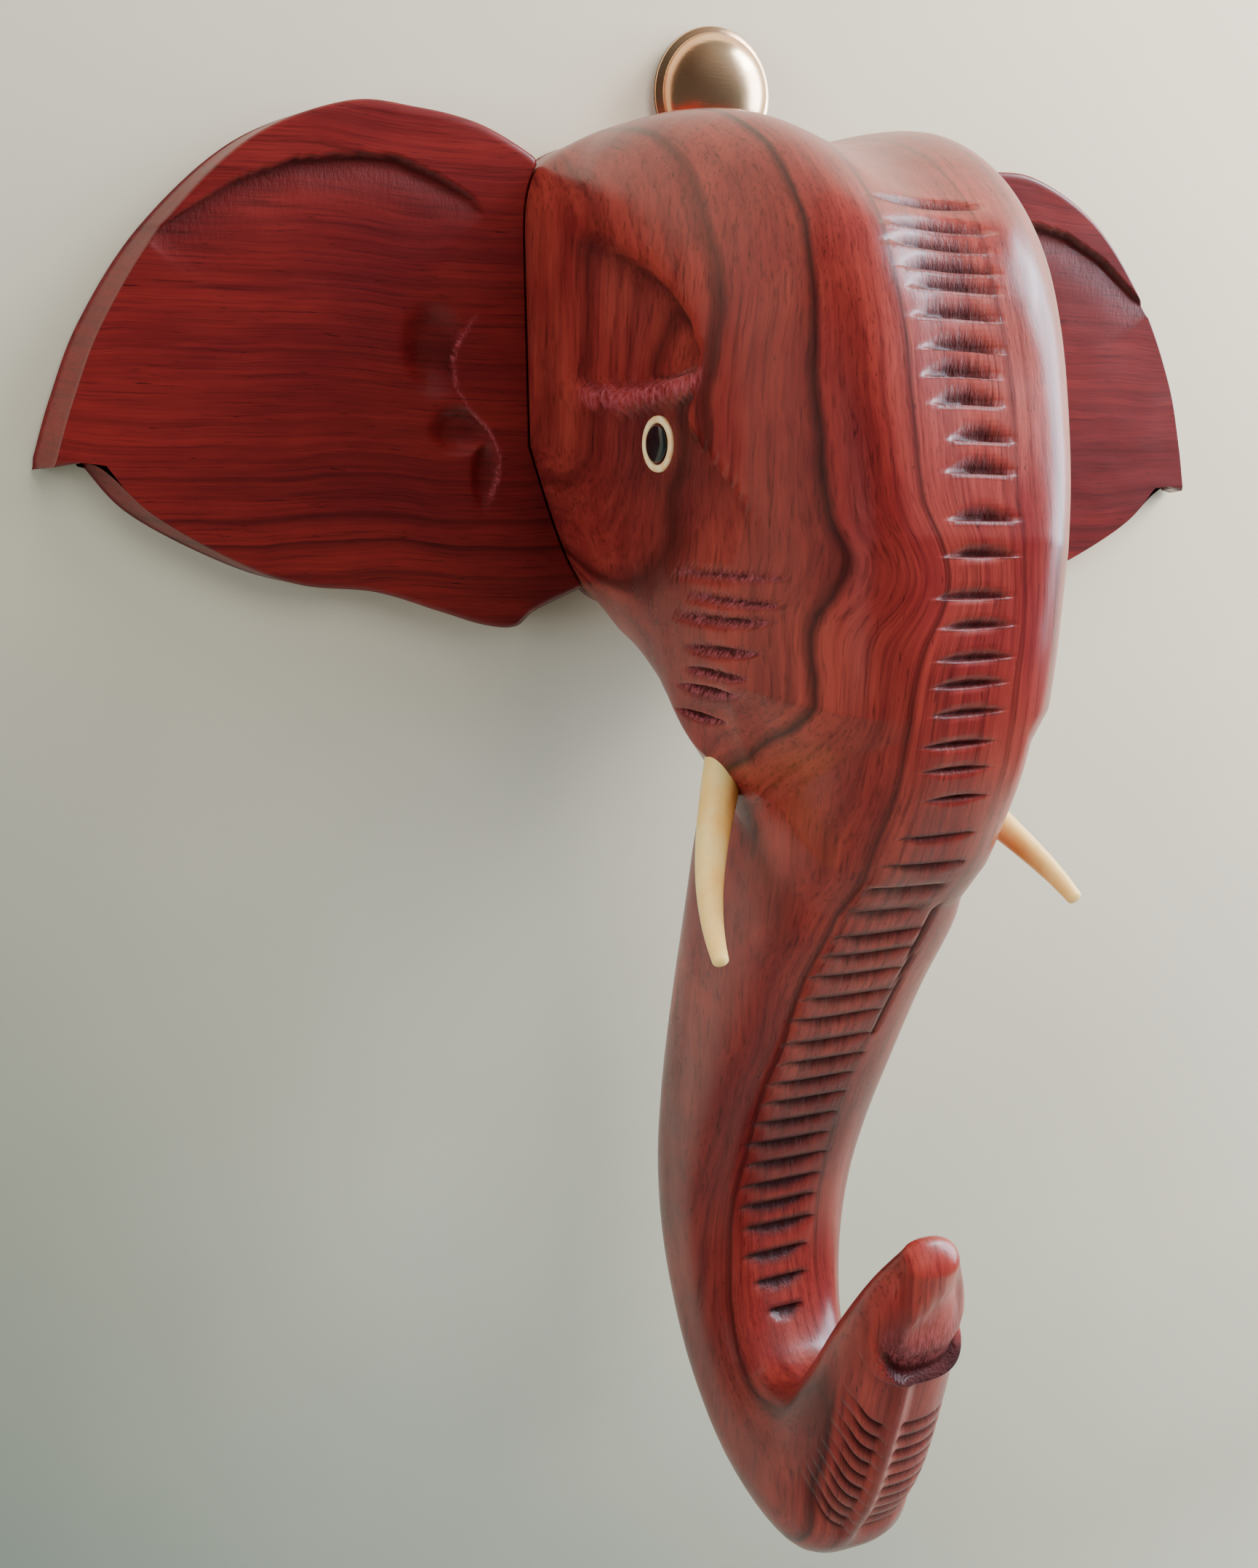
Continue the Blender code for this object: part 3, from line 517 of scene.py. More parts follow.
fine_places = np.concatenate([np.linspace(0.0, FLAP, 2801), np.linspace(FLAP + 0.01, TIP, 2800)])
fine_rows = station(fine_places)
fine_front = np.stack([fine_rows[:, 0] * HEAD_DEPTH, height_of(fine_rows[:, 1])], axis=1) * 1000.0
front_run = np.concatenate([[0.0], np.cumsum(np.linalg.norm(np.diff(fine_front, axis=0), axis=1))])
nose = (fine_places > 3.5) & (fine_places < 22.4)
cut_runs = np.interp(-CUT_HEIGHTS, -fine_front[nose, 1], front_run[nose])
cut_ramp = np.interp(-CUT_HEIGHTS, *np.transpose(RAMP_BY_DROP))
cut_lean = np.interp(-CUT_HEIGHTS, *np.transpose(LEAN_BY_DROP))
cut_depth = np.interp(-CUT_HEIGHTS, *np.transpose(DEPTH_BY_DROP))
print(len(cut_runs), "cuts from run %.0f to %.0f mm" % (cut_runs[0], cut_runs[-1]))

# %% Places of the curl's cuts
CURL_CUT_COUNT = 10
fine_back = np.stack([fine_rows[:, 2] * HEAD_DEPTH, height_of(fine_rows[:, 3])], axis=1) * 1000.0
back_run = np.concatenate([[0.0], np.cumsum(np.linalg.norm(np.diff(fine_back, axis=0), axis=1))])
curl_marks = FLAP + np.array((10.75, 12.15, 12.66))
curl_first, curl_last, lip_run = np.interp(curl_marks, fine_places, back_run)
curl_cut_runs = np.linspace(curl_first, curl_last, CURL_CUT_COUNT)
print("curl cuts from run %.0f to %.0f mm" % (curl_first, curl_last))

# %% Rings of the grid
WIDEST_RING_BROW = 0.85
WIDEST_RING = 1.6

ring_runs = [0.0]
ring_runs += list(np.linspace(8.0, cut_runs[0] - 3.0, 40))
for number, run in enumerate(cut_runs):
    for way in (-1.0, 1.0):
        side_ramp = cut_ramp[number] * (0.5 - 0.5 * way * cut_lean[number])
        sloping = (0.05, 0.28 * side_ramp, 0.62 * side_ramp, side_ramp + 0.1)
        steps = sloping if side_ramp > 0.3 else (0.05, 0.33)
        ring_runs += [run + way * step for step in steps]
flap_run = np.interp(FLAP, fine_places, front_run)
foot_run = np.interp(FLAP + 1.0, fine_places, front_run)
tip_run = front_run[-1]
ring_runs += list(np.linspace(cut_runs[-1] + 2.6, tip_run, 44))
ring_runs = np.unique(np.round(np.array(ring_runs), 3))
filled = [ring_runs[0]]
for run in ring_runs[1:]:
    widest = WIDEST_RING_BROW if cut_runs[0] - 6.0 < run < flap_run else WIDEST_RING
    extra = int((run - filled[-1]) / widest)
    filled += list(np.linspace(filled[-1], run, extra + 2)[1:])
ring_runs = np.array(filled)
ring_runs = ring_runs[(ring_runs < flap_run - 0.3) | (ring_runs > foot_run + 0.3)]
ring_places = np.interp(ring_runs, front_run, fine_places)
flap_places = FLAP + np.array((0.0, 0.006, 0.02, 0.05, 0.12, 0.25, 0.42, 0.60, 0.78, 0.92, 1.0))
curl_rings = (curl_cut_runs[:, None] + np.array((-1.9, -1.2, -0.6, -0.25, 0.0, 0.3))).ravel()
nostril_rings = lip_run + np.array((-1.0, -0.3, 0.0, 0.25, 0.5, 0.8, 1.2, 1.7, 2.3, 3.0, 3.8, 4.7, 5.7))
outer_places = np.interp(np.concatenate([curl_rings, nostril_rings]), back_run, fine_places)
ring_places = np.sort(np.concatenate([ring_places, flap_places, outer_places]))
print(len(ring_places), "rings")

# %% Points round each ring
RING_POINTS = 176
half_angles = np.linspace(0.0, np.pi, 721)
coarse = head_surface(ring_places[:, None], half_angles[None, :])
lengths = np.linalg.norm(np.diff(coarse, axis=1), axis=2) * 1000.0
middles = 0.5 * (half_angles[1:] + half_angles[:-1])
weight = 1.0 - 0.55 * smooth(0.5, 0.1, middles) + 0.35 * smooth(2.4, 3.0, middles)
run_round = np.concatenate([np.zeros((len(ring_places), 1)), np.cumsum(lengths * weight, axis=1)], axis=1)
goals = np.linspace(0.0, 1.0, RING_POINTS // 2 + 1)
half = np.stack([np.interp(goals * run[-1], run, half_angles) for run in run_round])
ring_angles = np.concatenate([half, 2.0 * np.pi - half[:, -2:0:-1]], axis=1)
print("grid", ring_angles.shape)

# %% [markdown]
# ## Carving by pushing the surface in
# A knife only takes wood away, so every carved form is a depth below the block's surface.
# Each depth is a function of where the point lies: on the nose, how far down the run and how
# far across; on the side of the face, the depth from the wall and the height. The deepest cut
# at each point wins where two overlap, and the grid is pushed in along its own normals.

# %% How the cuts bow and slant
place_grid = np.repeat(ring_places[:, None], ring_angles.shape[1], axis=1)
block = head_surface(place_grid, ring_angles)
run_grid = np.interp(place_grid, fine_places, front_run)
front_side = smooth(0.55, 0.75, (1.0 - np.cos(ring_angles)) / 2.0)
x_mm = block[..., 0] * 1000.0
sway = 0.35 * np.sin(run_grid * 0.31) + 0.25 * np.sin(run_grid * 0.77 + 1.0)
arch = np.clip(1.0 - ((x_mm + 1.0) / 11.0) ** 2, 0.0, 1.0)
below_crown = smooth(cut_runs[0] - 12.0, cut_runs[0], run_grid)
bow = -0.9 * arch * below_crown * smooth(cut_runs[14], cut_runs[8], run_grid)
slant = -0.045 * x_mm * smooth(cut_runs[12], cut_runs[16], run_grid) + 0.02 * sway * x_mm
shift = (bow + slant * np.clip(1.0 - (x_mm / 16.0) ** 2, 0.0, 1.0)) * front_side
shift *= below_crown * smooth(tip_run - 40.0, tip_run - 60.0, run_grid)
near_flap = smooth(3.0, 9.0, np.abs(run_grid - flap_run))
moved = np.interp(run_grid + shift * near_flap, front_run, fine_places)
moved = np.where((place_grid > FLAP) & (place_grid < FLAP + 1.0), place_grid, moved)
moved = np.where(place_grid <= FLAP, np.minimum(moved, FLAP), np.maximum(moved, FLAP))
outer_grid = np.interp(place_grid, fine_places, back_run)
back_side = smooth(0.45, 0.2, (1.0 - np.cos(ring_angles)) / 2.0) * (place_grid > FLAP + 1.0)
curl_zone = smooth(curl_first - 9.0, curl_first - 2.5, outer_grid)
curl_zone *= smooth(curl_last + 8.0, curl_last + 0.5, outer_grid)
lean = 0.10 * np.maximum(-3.0 - x_mm, 0.0) * back_side * curl_zone
moved = np.where(back_side > 0.0, np.interp(outer_grid + lean, back_run, fine_places), moved)
block = head_surface(np.where(place_grid == ring_places[-1], place_grid, moved), ring_angles)
x_mm, d_mm, z_mm = block[..., 0] * 1000.0, -block[..., 1] * 1000.0, block[..., 2] * 1000.0
print("cuts shifted by up to %.2f mm" % np.abs(shift).max())

# %% Depth of the cross cuts
LEAST_RAMP = 0.28


def wedge(far, before, after, power=1.0):
    """(1 - |far| / length)^power, with one length before far = 0 and another after it."""
    rising = np.clip(1.0 + far / before, 0.0, 1.0) ** power
    falling = np.clip(1.0 - far / after, 0.0, 1.0) ** power
    return np.where(far < 0.0, rising, falling)


def cross_cuts():
    """Depth of the cuts, most at the stop edge and running out to the ends, and painted shade on their rims.
    """
    total = np.zeros(run_grid.shape)
    rim_shade = np.zeros(run_grid.shape)
    for number, run in enumerate(cut_runs):
        height = CUT_HEIGHTS[number]
        wobble = 0.5 * math.sin(2.3 * number) + 0.4 * math.sin(5.1 * number + 1.0)
        left = np.interp(height, EDGE_HEIGHTS, LEFT_ENDS) + wobble
        right_end = np.interp(height, EDGE_HEIGHTS, RIGHT_ENDS) + 0.6 * wobble
        centre, reach = 0.5 * (left + right_end), 0.5 * (right_end - left)
        lens = np.clip(1.0 - ((x_mm - centre) / reach) ** 2, 0.0, 1.0)
        ragged = 1.0 + 0.16 * np.sin(3.1 * x_mm + number) * np.sin(5.3 * x_mm + 2.0 * number)
        above = max(cut_ramp[number] * (0.5 + 0.5 * cut_lean[number]), LEAST_RAMP)
        below = max(cut_ramp[number] * (0.5 - 0.5 * cut_lean[number]), LEAST_RAMP)
        far = run_grid - run
        profile = wedge(far, above * lens**0.8 + 1e-6, below * lens**0.8 + 1e-6, 1.15)
        total = np.maximum(total, cut_depth[number] * lens**0.95 * profile * ragged * (lens > 0.0))
        # Painted shade: a thin band along the edges of each cut is darkened and roughened.
        rim_shade = np.maximum(rim_shade, 0.55 * smooth(0.0, 0.5, lens) * (np.abs(far) < 0.36))
    return total * (front_side > 0.0), rim_shade * (front_side > 0.0)


nose_cuts, cut_rim_shade = cross_cuts()
print("deepest cross cut %.2f mm" % nose_cuts.max())

# %% [markdown]
# ## Brow, eye and cheek
# Above each eye is a scooped hollow with a hard edge along its top and front. It ends below on a
# ledge, which is the upper eyelid. Under the lid the wood is cut back to a flat for the inlaid
# eye, and a crease runs from the lid's end down toward the trunk. Seven slashes cross the
# cheek. The lines are given as depth from the wall and height, in millimetres.

# %% Side carving
BROW_EDGE = (
    (12.0, 44.5), (20.0, 43.5), (27.0, 42.0), (39.0, 38.4), (48.0, 35.0),
    (55.0, 31.4), (60.0, 27.0), (62.6, 24.0), (64.4, 19.6),
)
LEDGE = ((10.0, 16.8), (20.0, 16.2), (29.6, 15.6), (41.7, 15.4), (52.8, 17.1), (64.4, 19.6))
CREASE = ((63.9, 19.0), (63.2, 16.5), (61.9, 14.0), (61.8, 11.6), (64.8, 9.4), (75.4, 2.6), (84.5, -3.0))
# depth and height of each slash's back end and front end, and the length of its ramp
CHEEK_CUTS = (
    (56.8, -10.6, 86.8, -7.8, 1.2),
    (60.9, -13.6, 86.9, -11.7, 1.4),
    (57.1, -17.4, 84.9, -14.3, 1.9),
    (61.5, -22.0, 82.0, -19.4, 2.2),
    (61.1, -25.5, 79.6, -23.6, 2.4),
    (58.1, -28.9, 77.6, -26.8, 2.4),
    (56.8, -33.2, 71.4, -32.3, 2.0),
)
EYE_SINK = 1.8
BROW_SINK = 4.4
side_face = smooth(0.3, 0.6, np.abs(np.sin(ring_angles))) * (place_grid <= FLAP) * (np.abs(x_mm) > 14.0)


def brow_hollow():
    """Depth BROW_SINK (1 - exp(-t / 2)) below the hard edge, t mm inside it, rising to the ledge."""
    far, sign, _ = from_line(d_mm, z_mm, BROW_EDGE)
    floor = np.interp(d_mm, *np.transpose(LEDGE))
    inside = np.where((sign > 0.0) & (z_mm > floor) & (d_mm < 64.4), far, 0.0)
    rise = smooth(0.0, 2.2, z_mm - floor)
    return BROW_SINK * (1.0 - np.exp(-inside / 2.0)) * rise * smooth(14.0, 50.0, d_mm)


def eye_flat():
    """Sunk flat behind the crease and under the lid, fading away from the eye."""
    far, sign, _ = from_line(d_mm, z_mm, CREASE)
    lid = np.interp(d_mm, *np.transpose(LEDGE)) - 2.3
    behind = np.where(sign > 0.0, far, 0.0)
    fade = np.exp(-(((d_mm - 56.0) / 24.0) ** 2 + (np.minimum(z_mm - 7.5, 0.0) / 12.0) ** 2))
    flat = np.clip(1.25 * fade, 0.0, 1.0)
    under = smooth(0.0, 0.9, lid - z_mm)
    return EYE_SINK * flat * (1.0 - np.exp(-behind / 0.7)) * under


def cheek_slashes():
    """A stop edge along each line with a ramp below it that narrows at both ends."""
    total = np.zeros(d_mm.shape)
    for number, (d0, z0, d1, z1, ramp_height) in enumerate(CHEEK_CUTS):
        along = np.clip((d_mm - d0) / (d1 - d0), 0.0, 1.0)
        lens = np.clip(4.0 * along * (1.0 - along), 0.0, 1.0) * (d_mm > d0) * (d_mm < d1)
        arch = 0.5 * np.sin(np.pi * along) * (1.0 if number > 2 else 0.2)
        below = z0 + (z1 - z0) * along + arch - z_mm
        ragged = 1.0 + 0.15 * np.sin(2.9 * d_mm + number) * np.sin(4.7 * d_mm)
        ramp_run = ramp_height * lens**0.7 + 1e-6
        sloping = np.clip(1.0 - below / ramp_run, 0.0, 1.0) ** 1.3
        profile = np.where(below > 0.0, sloping, np.clip(1.0 + below / 0.32, 0.0, 1.0))
        total = np.maximum(total, (1.05 + 0.09 * number) * lens**0.5 * profile * ragged)
    return total


brow, eye, cheek = brow_hollow() * side_face, eye_flat() * side_face, cheek_slashes() * side_face
print("brow %.2f, eye %.2f, cheek %.2f mm" % (brow.max(), eye.max(), cheek.max()))

# %% [markdown]
# ## The curled end
# The outer side of the curl has a narrow ridge down its middle. Short cuts cross the flats
# beside it, and the nostril is a scoop with a hard lower lip. Between it and the tip a slanting
# ridge has a sunk face on its right, which leaves the pointed finger at the very end.

# %% Curl carving
CURL_FLAT_SINK = 1.1
ridge_x = -2.9 + 0.015 * (z_mm + 126.0)
above_lip = outer_grid - lip_run - 0.10 * np.maximum(-2.0 - x_mm, 0.0) ** 2


def curl_cuts():
    """Flats sunk beside a ridge, crossed by ten short cuts with a ramp above each stop edge."""
    zone = smooth(curl_first - 6.0, curl_first, outer_grid)
    zone = zone * smooth(lip_run + 0.2, lip_run - 0.6, outer_grid) * back_side
    beside = 1.0 - np.exp(-(((x_mm - ridge_x) / 1.5) ** 4))
    total = np.zeros(zone.shape)
    for number, run in enumerate(curl_cut_runs):
        depth = 0.75 + 0.12 * math.sin(2.0 * number)
        total = np.maximum(total, depth * wedge(outer_grid - run, 1.9, 0.3))
    return (CURL_FLAT_SINK * beside + total * beside) * zone


def nostril_scoop():
    """Depth 2.2 exp(-(t / 6.2)^2) at t mm above a hard lip that climbs toward the left."""
    climb = np.where(above_lip > 0.0, np.exp(-((above_lip / 6.2) ** 2)), 0.0) * smooth(0.0, 0.35, above_lip)
    return 2.2 * climb * smooth(-10.0, -5.5, x_mm) * back_side


def finger_scoop():
    """A face sunk to the right of a slanting ridge between the nostril and the tip."""
    beyond = x_mm - (-8.5 + 1.05 * (above_lip - 6.5))
    span = smooth(5.0, 8.0, above_lip) * smooth(19.0, 13.0, above_lip)
    return 1.3 * (1.0 - np.exp(-np.maximum(beyond, 0.0) / 1.3)) * span * back_side


curl, nostril, finger = curl_cuts(), nostril_scoop(), finger_scoop()
print("curl %.2f, nostril %.2f, finger %.2f mm" % (curl.max(), nostril.max(), finger.max()))

# %% Push the grid in
def grid_normals(grid):
    """Cross product of the two directions of the grid, turned outward."""
    along = np.gradient(grid, axis=0)
    around = np.roll(grid, -1, axis=1) - np.roll(grid, 1, axis=1)
    normal = np.cross(along, around)
    normal /= np.linalg.norm(normal, axis=-1, keepdims=True) + 1e-12
    middle = grid.mean(axis=1, keepdims=True)
    return normal * np.sign((normal * (grid - middle)).sum(axis=-1, keepdims=True).mean())


CRACK = ((6.4, -58.0), (6.0, -66.0), (6.7, -74.0), (6.4, -86.0))
NOSE_SKIN = 0.04
TIP_ROUND = 0.0022
TIP_TURNS = (0.25, 0.5, 0.75, 1.0, 1.2, 1.38)

crack_far, _, _ = from_line(x_mm, z_mm, CRACK)
crack = 0.45 * smooth(0.5, 0.1, crack_far) * front_side
carved = np.maximum.reduce([nose_cuts, brow, eye, cheek, crack]) + curl + np.maximum(nostril, finger)
normals = grid_normals(block)
head_grid = block - normals * ((carved + NOSE_SKIN * smooth(0.3, 1.5, d_mm)) * 0.001)[..., None]
head_grid[..., 1] = np.minimum(head_grid[..., 1], 0.0)
end = head_grid[-1]
end_middle = end.mean(axis=0)
end_ahead = end_middle - head_grid[-6].mean(axis=0)
end_ahead /= np.linalg.norm(end_ahead)
tip_rings = [
    end_middle + (end - end_middle) * math.cos(turn) + end_ahead * TIP_ROUND * math.sin(turn)
    for turn in TIP_TURNS
]
head_grid = np.concatenate([head_grid, tip_rings])

# %% [markdown]
# ## What the mesh tells the finish
# Fresh cuts in the real carving are darker and drier than the varnished skin, and torn fibres
# are paler. That could be painted by hand on an image. The depths are already known here, so
# each point of the mesh carries three numbers instead, which the wood reads: how deep it was cut,
# how torn it is, and how much painted shade it gets low on the trunk. The first also carries
# painted shade in the brow hollow, nostril, eye flat and ear hollows, and the second carries
# painted highlights on the eyelid ledge, the finger and the ear ridges.

# %% Layers for the finish
# Painted shade, laid into the cut number: dark under the brow's hard edge, inside the nostril, on the eye
# flat, and in the cuts by their depth, where it joins the dry cut wood.
brow_far, _, _ = from_line(d_mm, z_mm, BROW_EDGE)
brow_shade = smooth(0.3, 1.2, brow) * np.exp(-brow_far / 4.0)
in_nostril = smooth(-0.35, -0.05, above_lip) * np.exp(-((above_lip / 7.0) ** 2))
nostril_shade = in_nostril * smooth(-10.0, -6.0, x_mm) * back_side
curl_shade = (curl - CURL_FLAT_SINK) / 0.5
cuts = [nose_cuts / 0.8, cut_rim_shade, cheek / 0.7, crack / 0.3, curl_shade]
cuts += [nostril_shade, brow_shade, 0.42 * eye / EYE_SINK]
cut_and_shade_layer = np.clip(np.maximum.reduce(cuts), 0.0, 1.0)

# The eyelid ledge faces up and is painted pale: torn fibres and a painted highlight.
above_lid = z_mm - np.interp(d_mm, *np.transpose(LEDGE))
lid = smooth(-2.6, -1.9, above_lid) * smooth(1.2, 0.2, above_lid)
lid = lid * smooth(24.0, 36.0, d_mm) * smooth(65.5, 63.5, d_mm) * side_face
torn_cheek = smooth(0.2, 0.45, cheek) * smooth(1.1, 0.7, cheek)
torn_nostril = 0.5 * smooth(1.5, 2.6, above_lip) * smooth(0.4, 1.2, nostril)
# Painted sheen on the sunk face of the finger.
finger_painted_sheen = 0.45 * smooth(0.6, 1.2, finger)
burr_and_highlight_layer = np.clip(lid + torn_cheek + torn_nostril + finger_painted_sheen, 0.0, 1.0)
# Painted shade: the lower trunk is darkened, as if the light from above falls off there.
low_trunk_shade_layer = smooth(-78.0, -112.0, z_mm) * smooth(92.0, 80.0, d_mm)

# %% Make the head
head_layers = {"cut": cut_and_shade_layer, "burr_and_highlight": burr_and_highlight_layer, "low_trunk_shade": low_trunk_shade_layer}
head = surface("head_carved", head_grid, head_wood, layers=head_layers)
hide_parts("head")
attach(head, "root")

# %% [markdown]
# ## Ears
# Each ear is a flat board with a slanted edge. Its face is a patch stretched between four
# curves: the line along the head, the crest, the under side and the short tip. Blending the
# opposite curves and taking the corners off once gives every point between. A long step under
# the crest shows the folded rim, and an S-shaped ridge with scoops beside it is the ear hole.

# %% Ear wood
EAR_LINES = ((-18.0, 0.45), (-12.5, 0.6), (-8.0, 0.5), (-1.0, 0.35), (8.0, 0.2), (20.0, 0.2), (33.0, 0.15))
ear_wood = rosewood(
    "ear_wood",
    lines=EAR_LINES,
    deep=(0.045, 0.0030, 0.0045),
    middle=(0.112, 0.0062, 0.0080),
    warm=(0.185, 0.0130, 0.0120),
    turn=(0.0, math.pi / 2.0, 0.06),
    roughness=0.40,
    knot=(0.0, 2.0),
    streaks=0.40,
)

# %% Ear shape
EAR_REACH = 0.1167
EAR_THICKNESS = 0.008
EAR_EDGE_SLANT = 0.0035
EAR_ROUND_OVER = 0.0005
ROOT_BOTTOM = -20.9
ROOT_TOP = 52.9
CREST = (
    (36.8, 54.6), (46.0, 58.5), (56.8, 60.0), (68.7, 59.7), (84.3, 52.5),
    (98.6, 38.1), (108.2, 22.8), (113.3, 10.2), (116.7, -0.5),
)
UNDER = (
    (33.2, -25.2), (37.1, -28.2), (43.3, -27.8), (52.0, -25.1), (63.7, -21.5),
    (77.1, -20.1), (88.6, -15.8), (102.2, -7.6), (109.3, 0.9),
)
EAR_LONG = 236
EAR_ACROSS = 176

root_ring = head_surface(np.zeros(1441), np.linspace(np.pi, 2.0 * np.pi, 1441)) * 1000.0
order = np.argsort(root_ring[:, 2])
root_z = np.linspace(ROOT_BOTTOM, ROOT_TOP, EAR_ACROSS)
keep = order[root_ring[order, 0] > 20.0]
root_x = np.interp(root_z, root_ring[keep, 2], root_ring[keep, 0]) + 0.35


def ear_patch():
    """(1-u) root(v) + u tip(v) + (1-v) under(u) + v crest(u), less the blend of the four corners."""
    root = np.stack([root_x, root_z], axis=1)
    crest_rows = ((root_x[-1], root_z[-1]),) + CREST
    under_rows = ((root_x[0], root_z[0]),) + UNDER
    crest, under = even_curve(crest_rows, EAR_LONG), even_curve(under_rows, EAR_LONG)
    tip = under[-1] + (crest[-1] - under[-1]) * np.linspace(0.0, 1.0, EAR_ACROSS)[:, None]
    u = np.linspace(0.0, 1.0, EAR_LONG)[:, None, None]
    v = np.linspace(0.0, 1.0, EAR_ACROSS)[None, :, None]
    sides = (1.0 - u) * root[None] + u * tip[None] + (1.0 - v) * under[:, None] + v * crest[:, None]
    corners = (1.0 - u) * (1.0 - v) * root[0] + (1.0 - u) * v * root[-1]
    corners = corners + u * (1.0 - v) * tip[0] + u * v * tip[-1]
    return sides - corners


patch = ear_patch()
ear_x, ear_z = patch[..., 0], patch[..., 1]
print("ear reaches %.1f mm" % ear_x.max())

# %% Ear relief
FOLD = (
    (101.0, 35.6), (99.3, 37.7), (87.1, 45.9), (77.6, 50.0), (66.6, 51.9),
    (60.3, 51.9), (53.1, 49.6), (47.1, 46.8), (44.9, 44.3),
)
HOLE_RIDGE = (
    (45.5, 28.2), (47.3, 26.0), (49.6, 21.9), (50.2, 18.6), (49.4, 14.6), (47.0, 11.0),
    (43.8, 8.2), (41.8, 5.0), (41.1, 2.3), (41.4, -0.7), (42.6, -4.0), (43.2, -6.1),
)


def scoop(depth, centre_x, centre_z, wide, high):
    """A flat-bottomed oval hollow: depth exp(-(r^2)^2.2), with r the share of its half width and height."""
    away = ((ear_x - centre_x) / wide) ** 2 + ((ear_z - centre_z) / high) ** 2
    return depth * np.exp(-(away**2.2))


def ear_relief():
    """In mm, a step under the fold and scoops outside the ridge; then the painted shade in the scoops and a
    painted highlight along the ridge's edge.
    """
    far, sign, share = from_line(ear_x, ear_z, FOLD)
    taper = np.sin(np.pi * np.clip(share, 0.0, 1.0)) ** 0.6
    below = np.where(sign < 0.0, far, 0.0)
    fold = 1.9 * taper * (1.0 - np.exp(-below / 0.25)) * np.exp(-below / 3.2)
    far, sign, share = from_line(ear_x, ear_z, HOLE_RIDGE)
    outer = np.where(sign < 0.0, far, 0.0)
    wall = (1.0 - np.exp(-outer / 0.22)) * np.sin(np.pi * np.clip(share, 0.02, 0.98)) ** 0.4
    upper = scoop(2.3, 53.2, 21.5, 5.0, 6.6)
    pea = scoop(1.8, 48.5, 7.5, 4.6, 3.4)
    slot = scoop(1.6, 43.6, -0.5, 2.2, 5.5)
    ends = smooth(0.0, 0.1, share) * smooth(1.0, 0.9, share)
    # Painted highlight: a thin pale line along the ridge's edge, where it would catch the light.
    ridge_highlight = 0.7 * np.exp(-((np.where(sign < 0.0, 9.0, far) / 0.45) ** 2)) * ends
    shadow = 0.25 + 0.75 * np.exp(-outer / 0.9)
    return fold, np.maximum.reduce([upper, pea, slot]) * wall, shadow, ridge_highlight


fold_depth, hole_depth, hole_shadow, ear_ridge_highlight = ear_relief()
# Painted shade: under the fold and in the ear hole, deepest near the ridge's wall.
ear_recess_shade = np.clip(np.maximum(fold_depth / 1.8, hole_depth / 1.6 * hole_shadow), 0.0, 1.0)
print("fold %.2f, ear hole %.2f mm" % (fold_depth.max(), hole_depth.max()))


# %% [markdown]
# ## Closing the ears
# The front, the slanted edge and the flat back of an ear are rings of points, one behind the
# other from the head to the tip. The first and last ring are open, so a ladder of quads and two
# small fans close each. A closed mesh has a volume, which tells the outside from the inside.

# %% The ends of an ear
EDGE_SHARES = (0.12, 0.5, 0.88)
BACK_START = EAR_ACROSS + len(EDGE_SHARES)


def end_faces(columns, base, turn):
    """Close one end ring: quads from front to back, and a fan of three over each slanted edge."""
    step = np.arange(EAR_ACROSS - 1)
    mirror = BACK_START + EAR_ACROSS - 1 - step
    quads = np.stack([step + 1, step, mirror, mirror - 1], axis=1) + base
    top = np.arange(EAR_ACROSS - 1, BACK_START + 1)
    low = np.append(np.arange(BACK_START + EAR_ACROSS - 1, columns), 0)
    fans = [np.stack([np.full(3, rim[0]), rim[2:5], rim[1:4]], axis=1) + base for rim in (top, low)]
    return quads[:, ::turn], np.concatenate(fans)[:, ::turn]


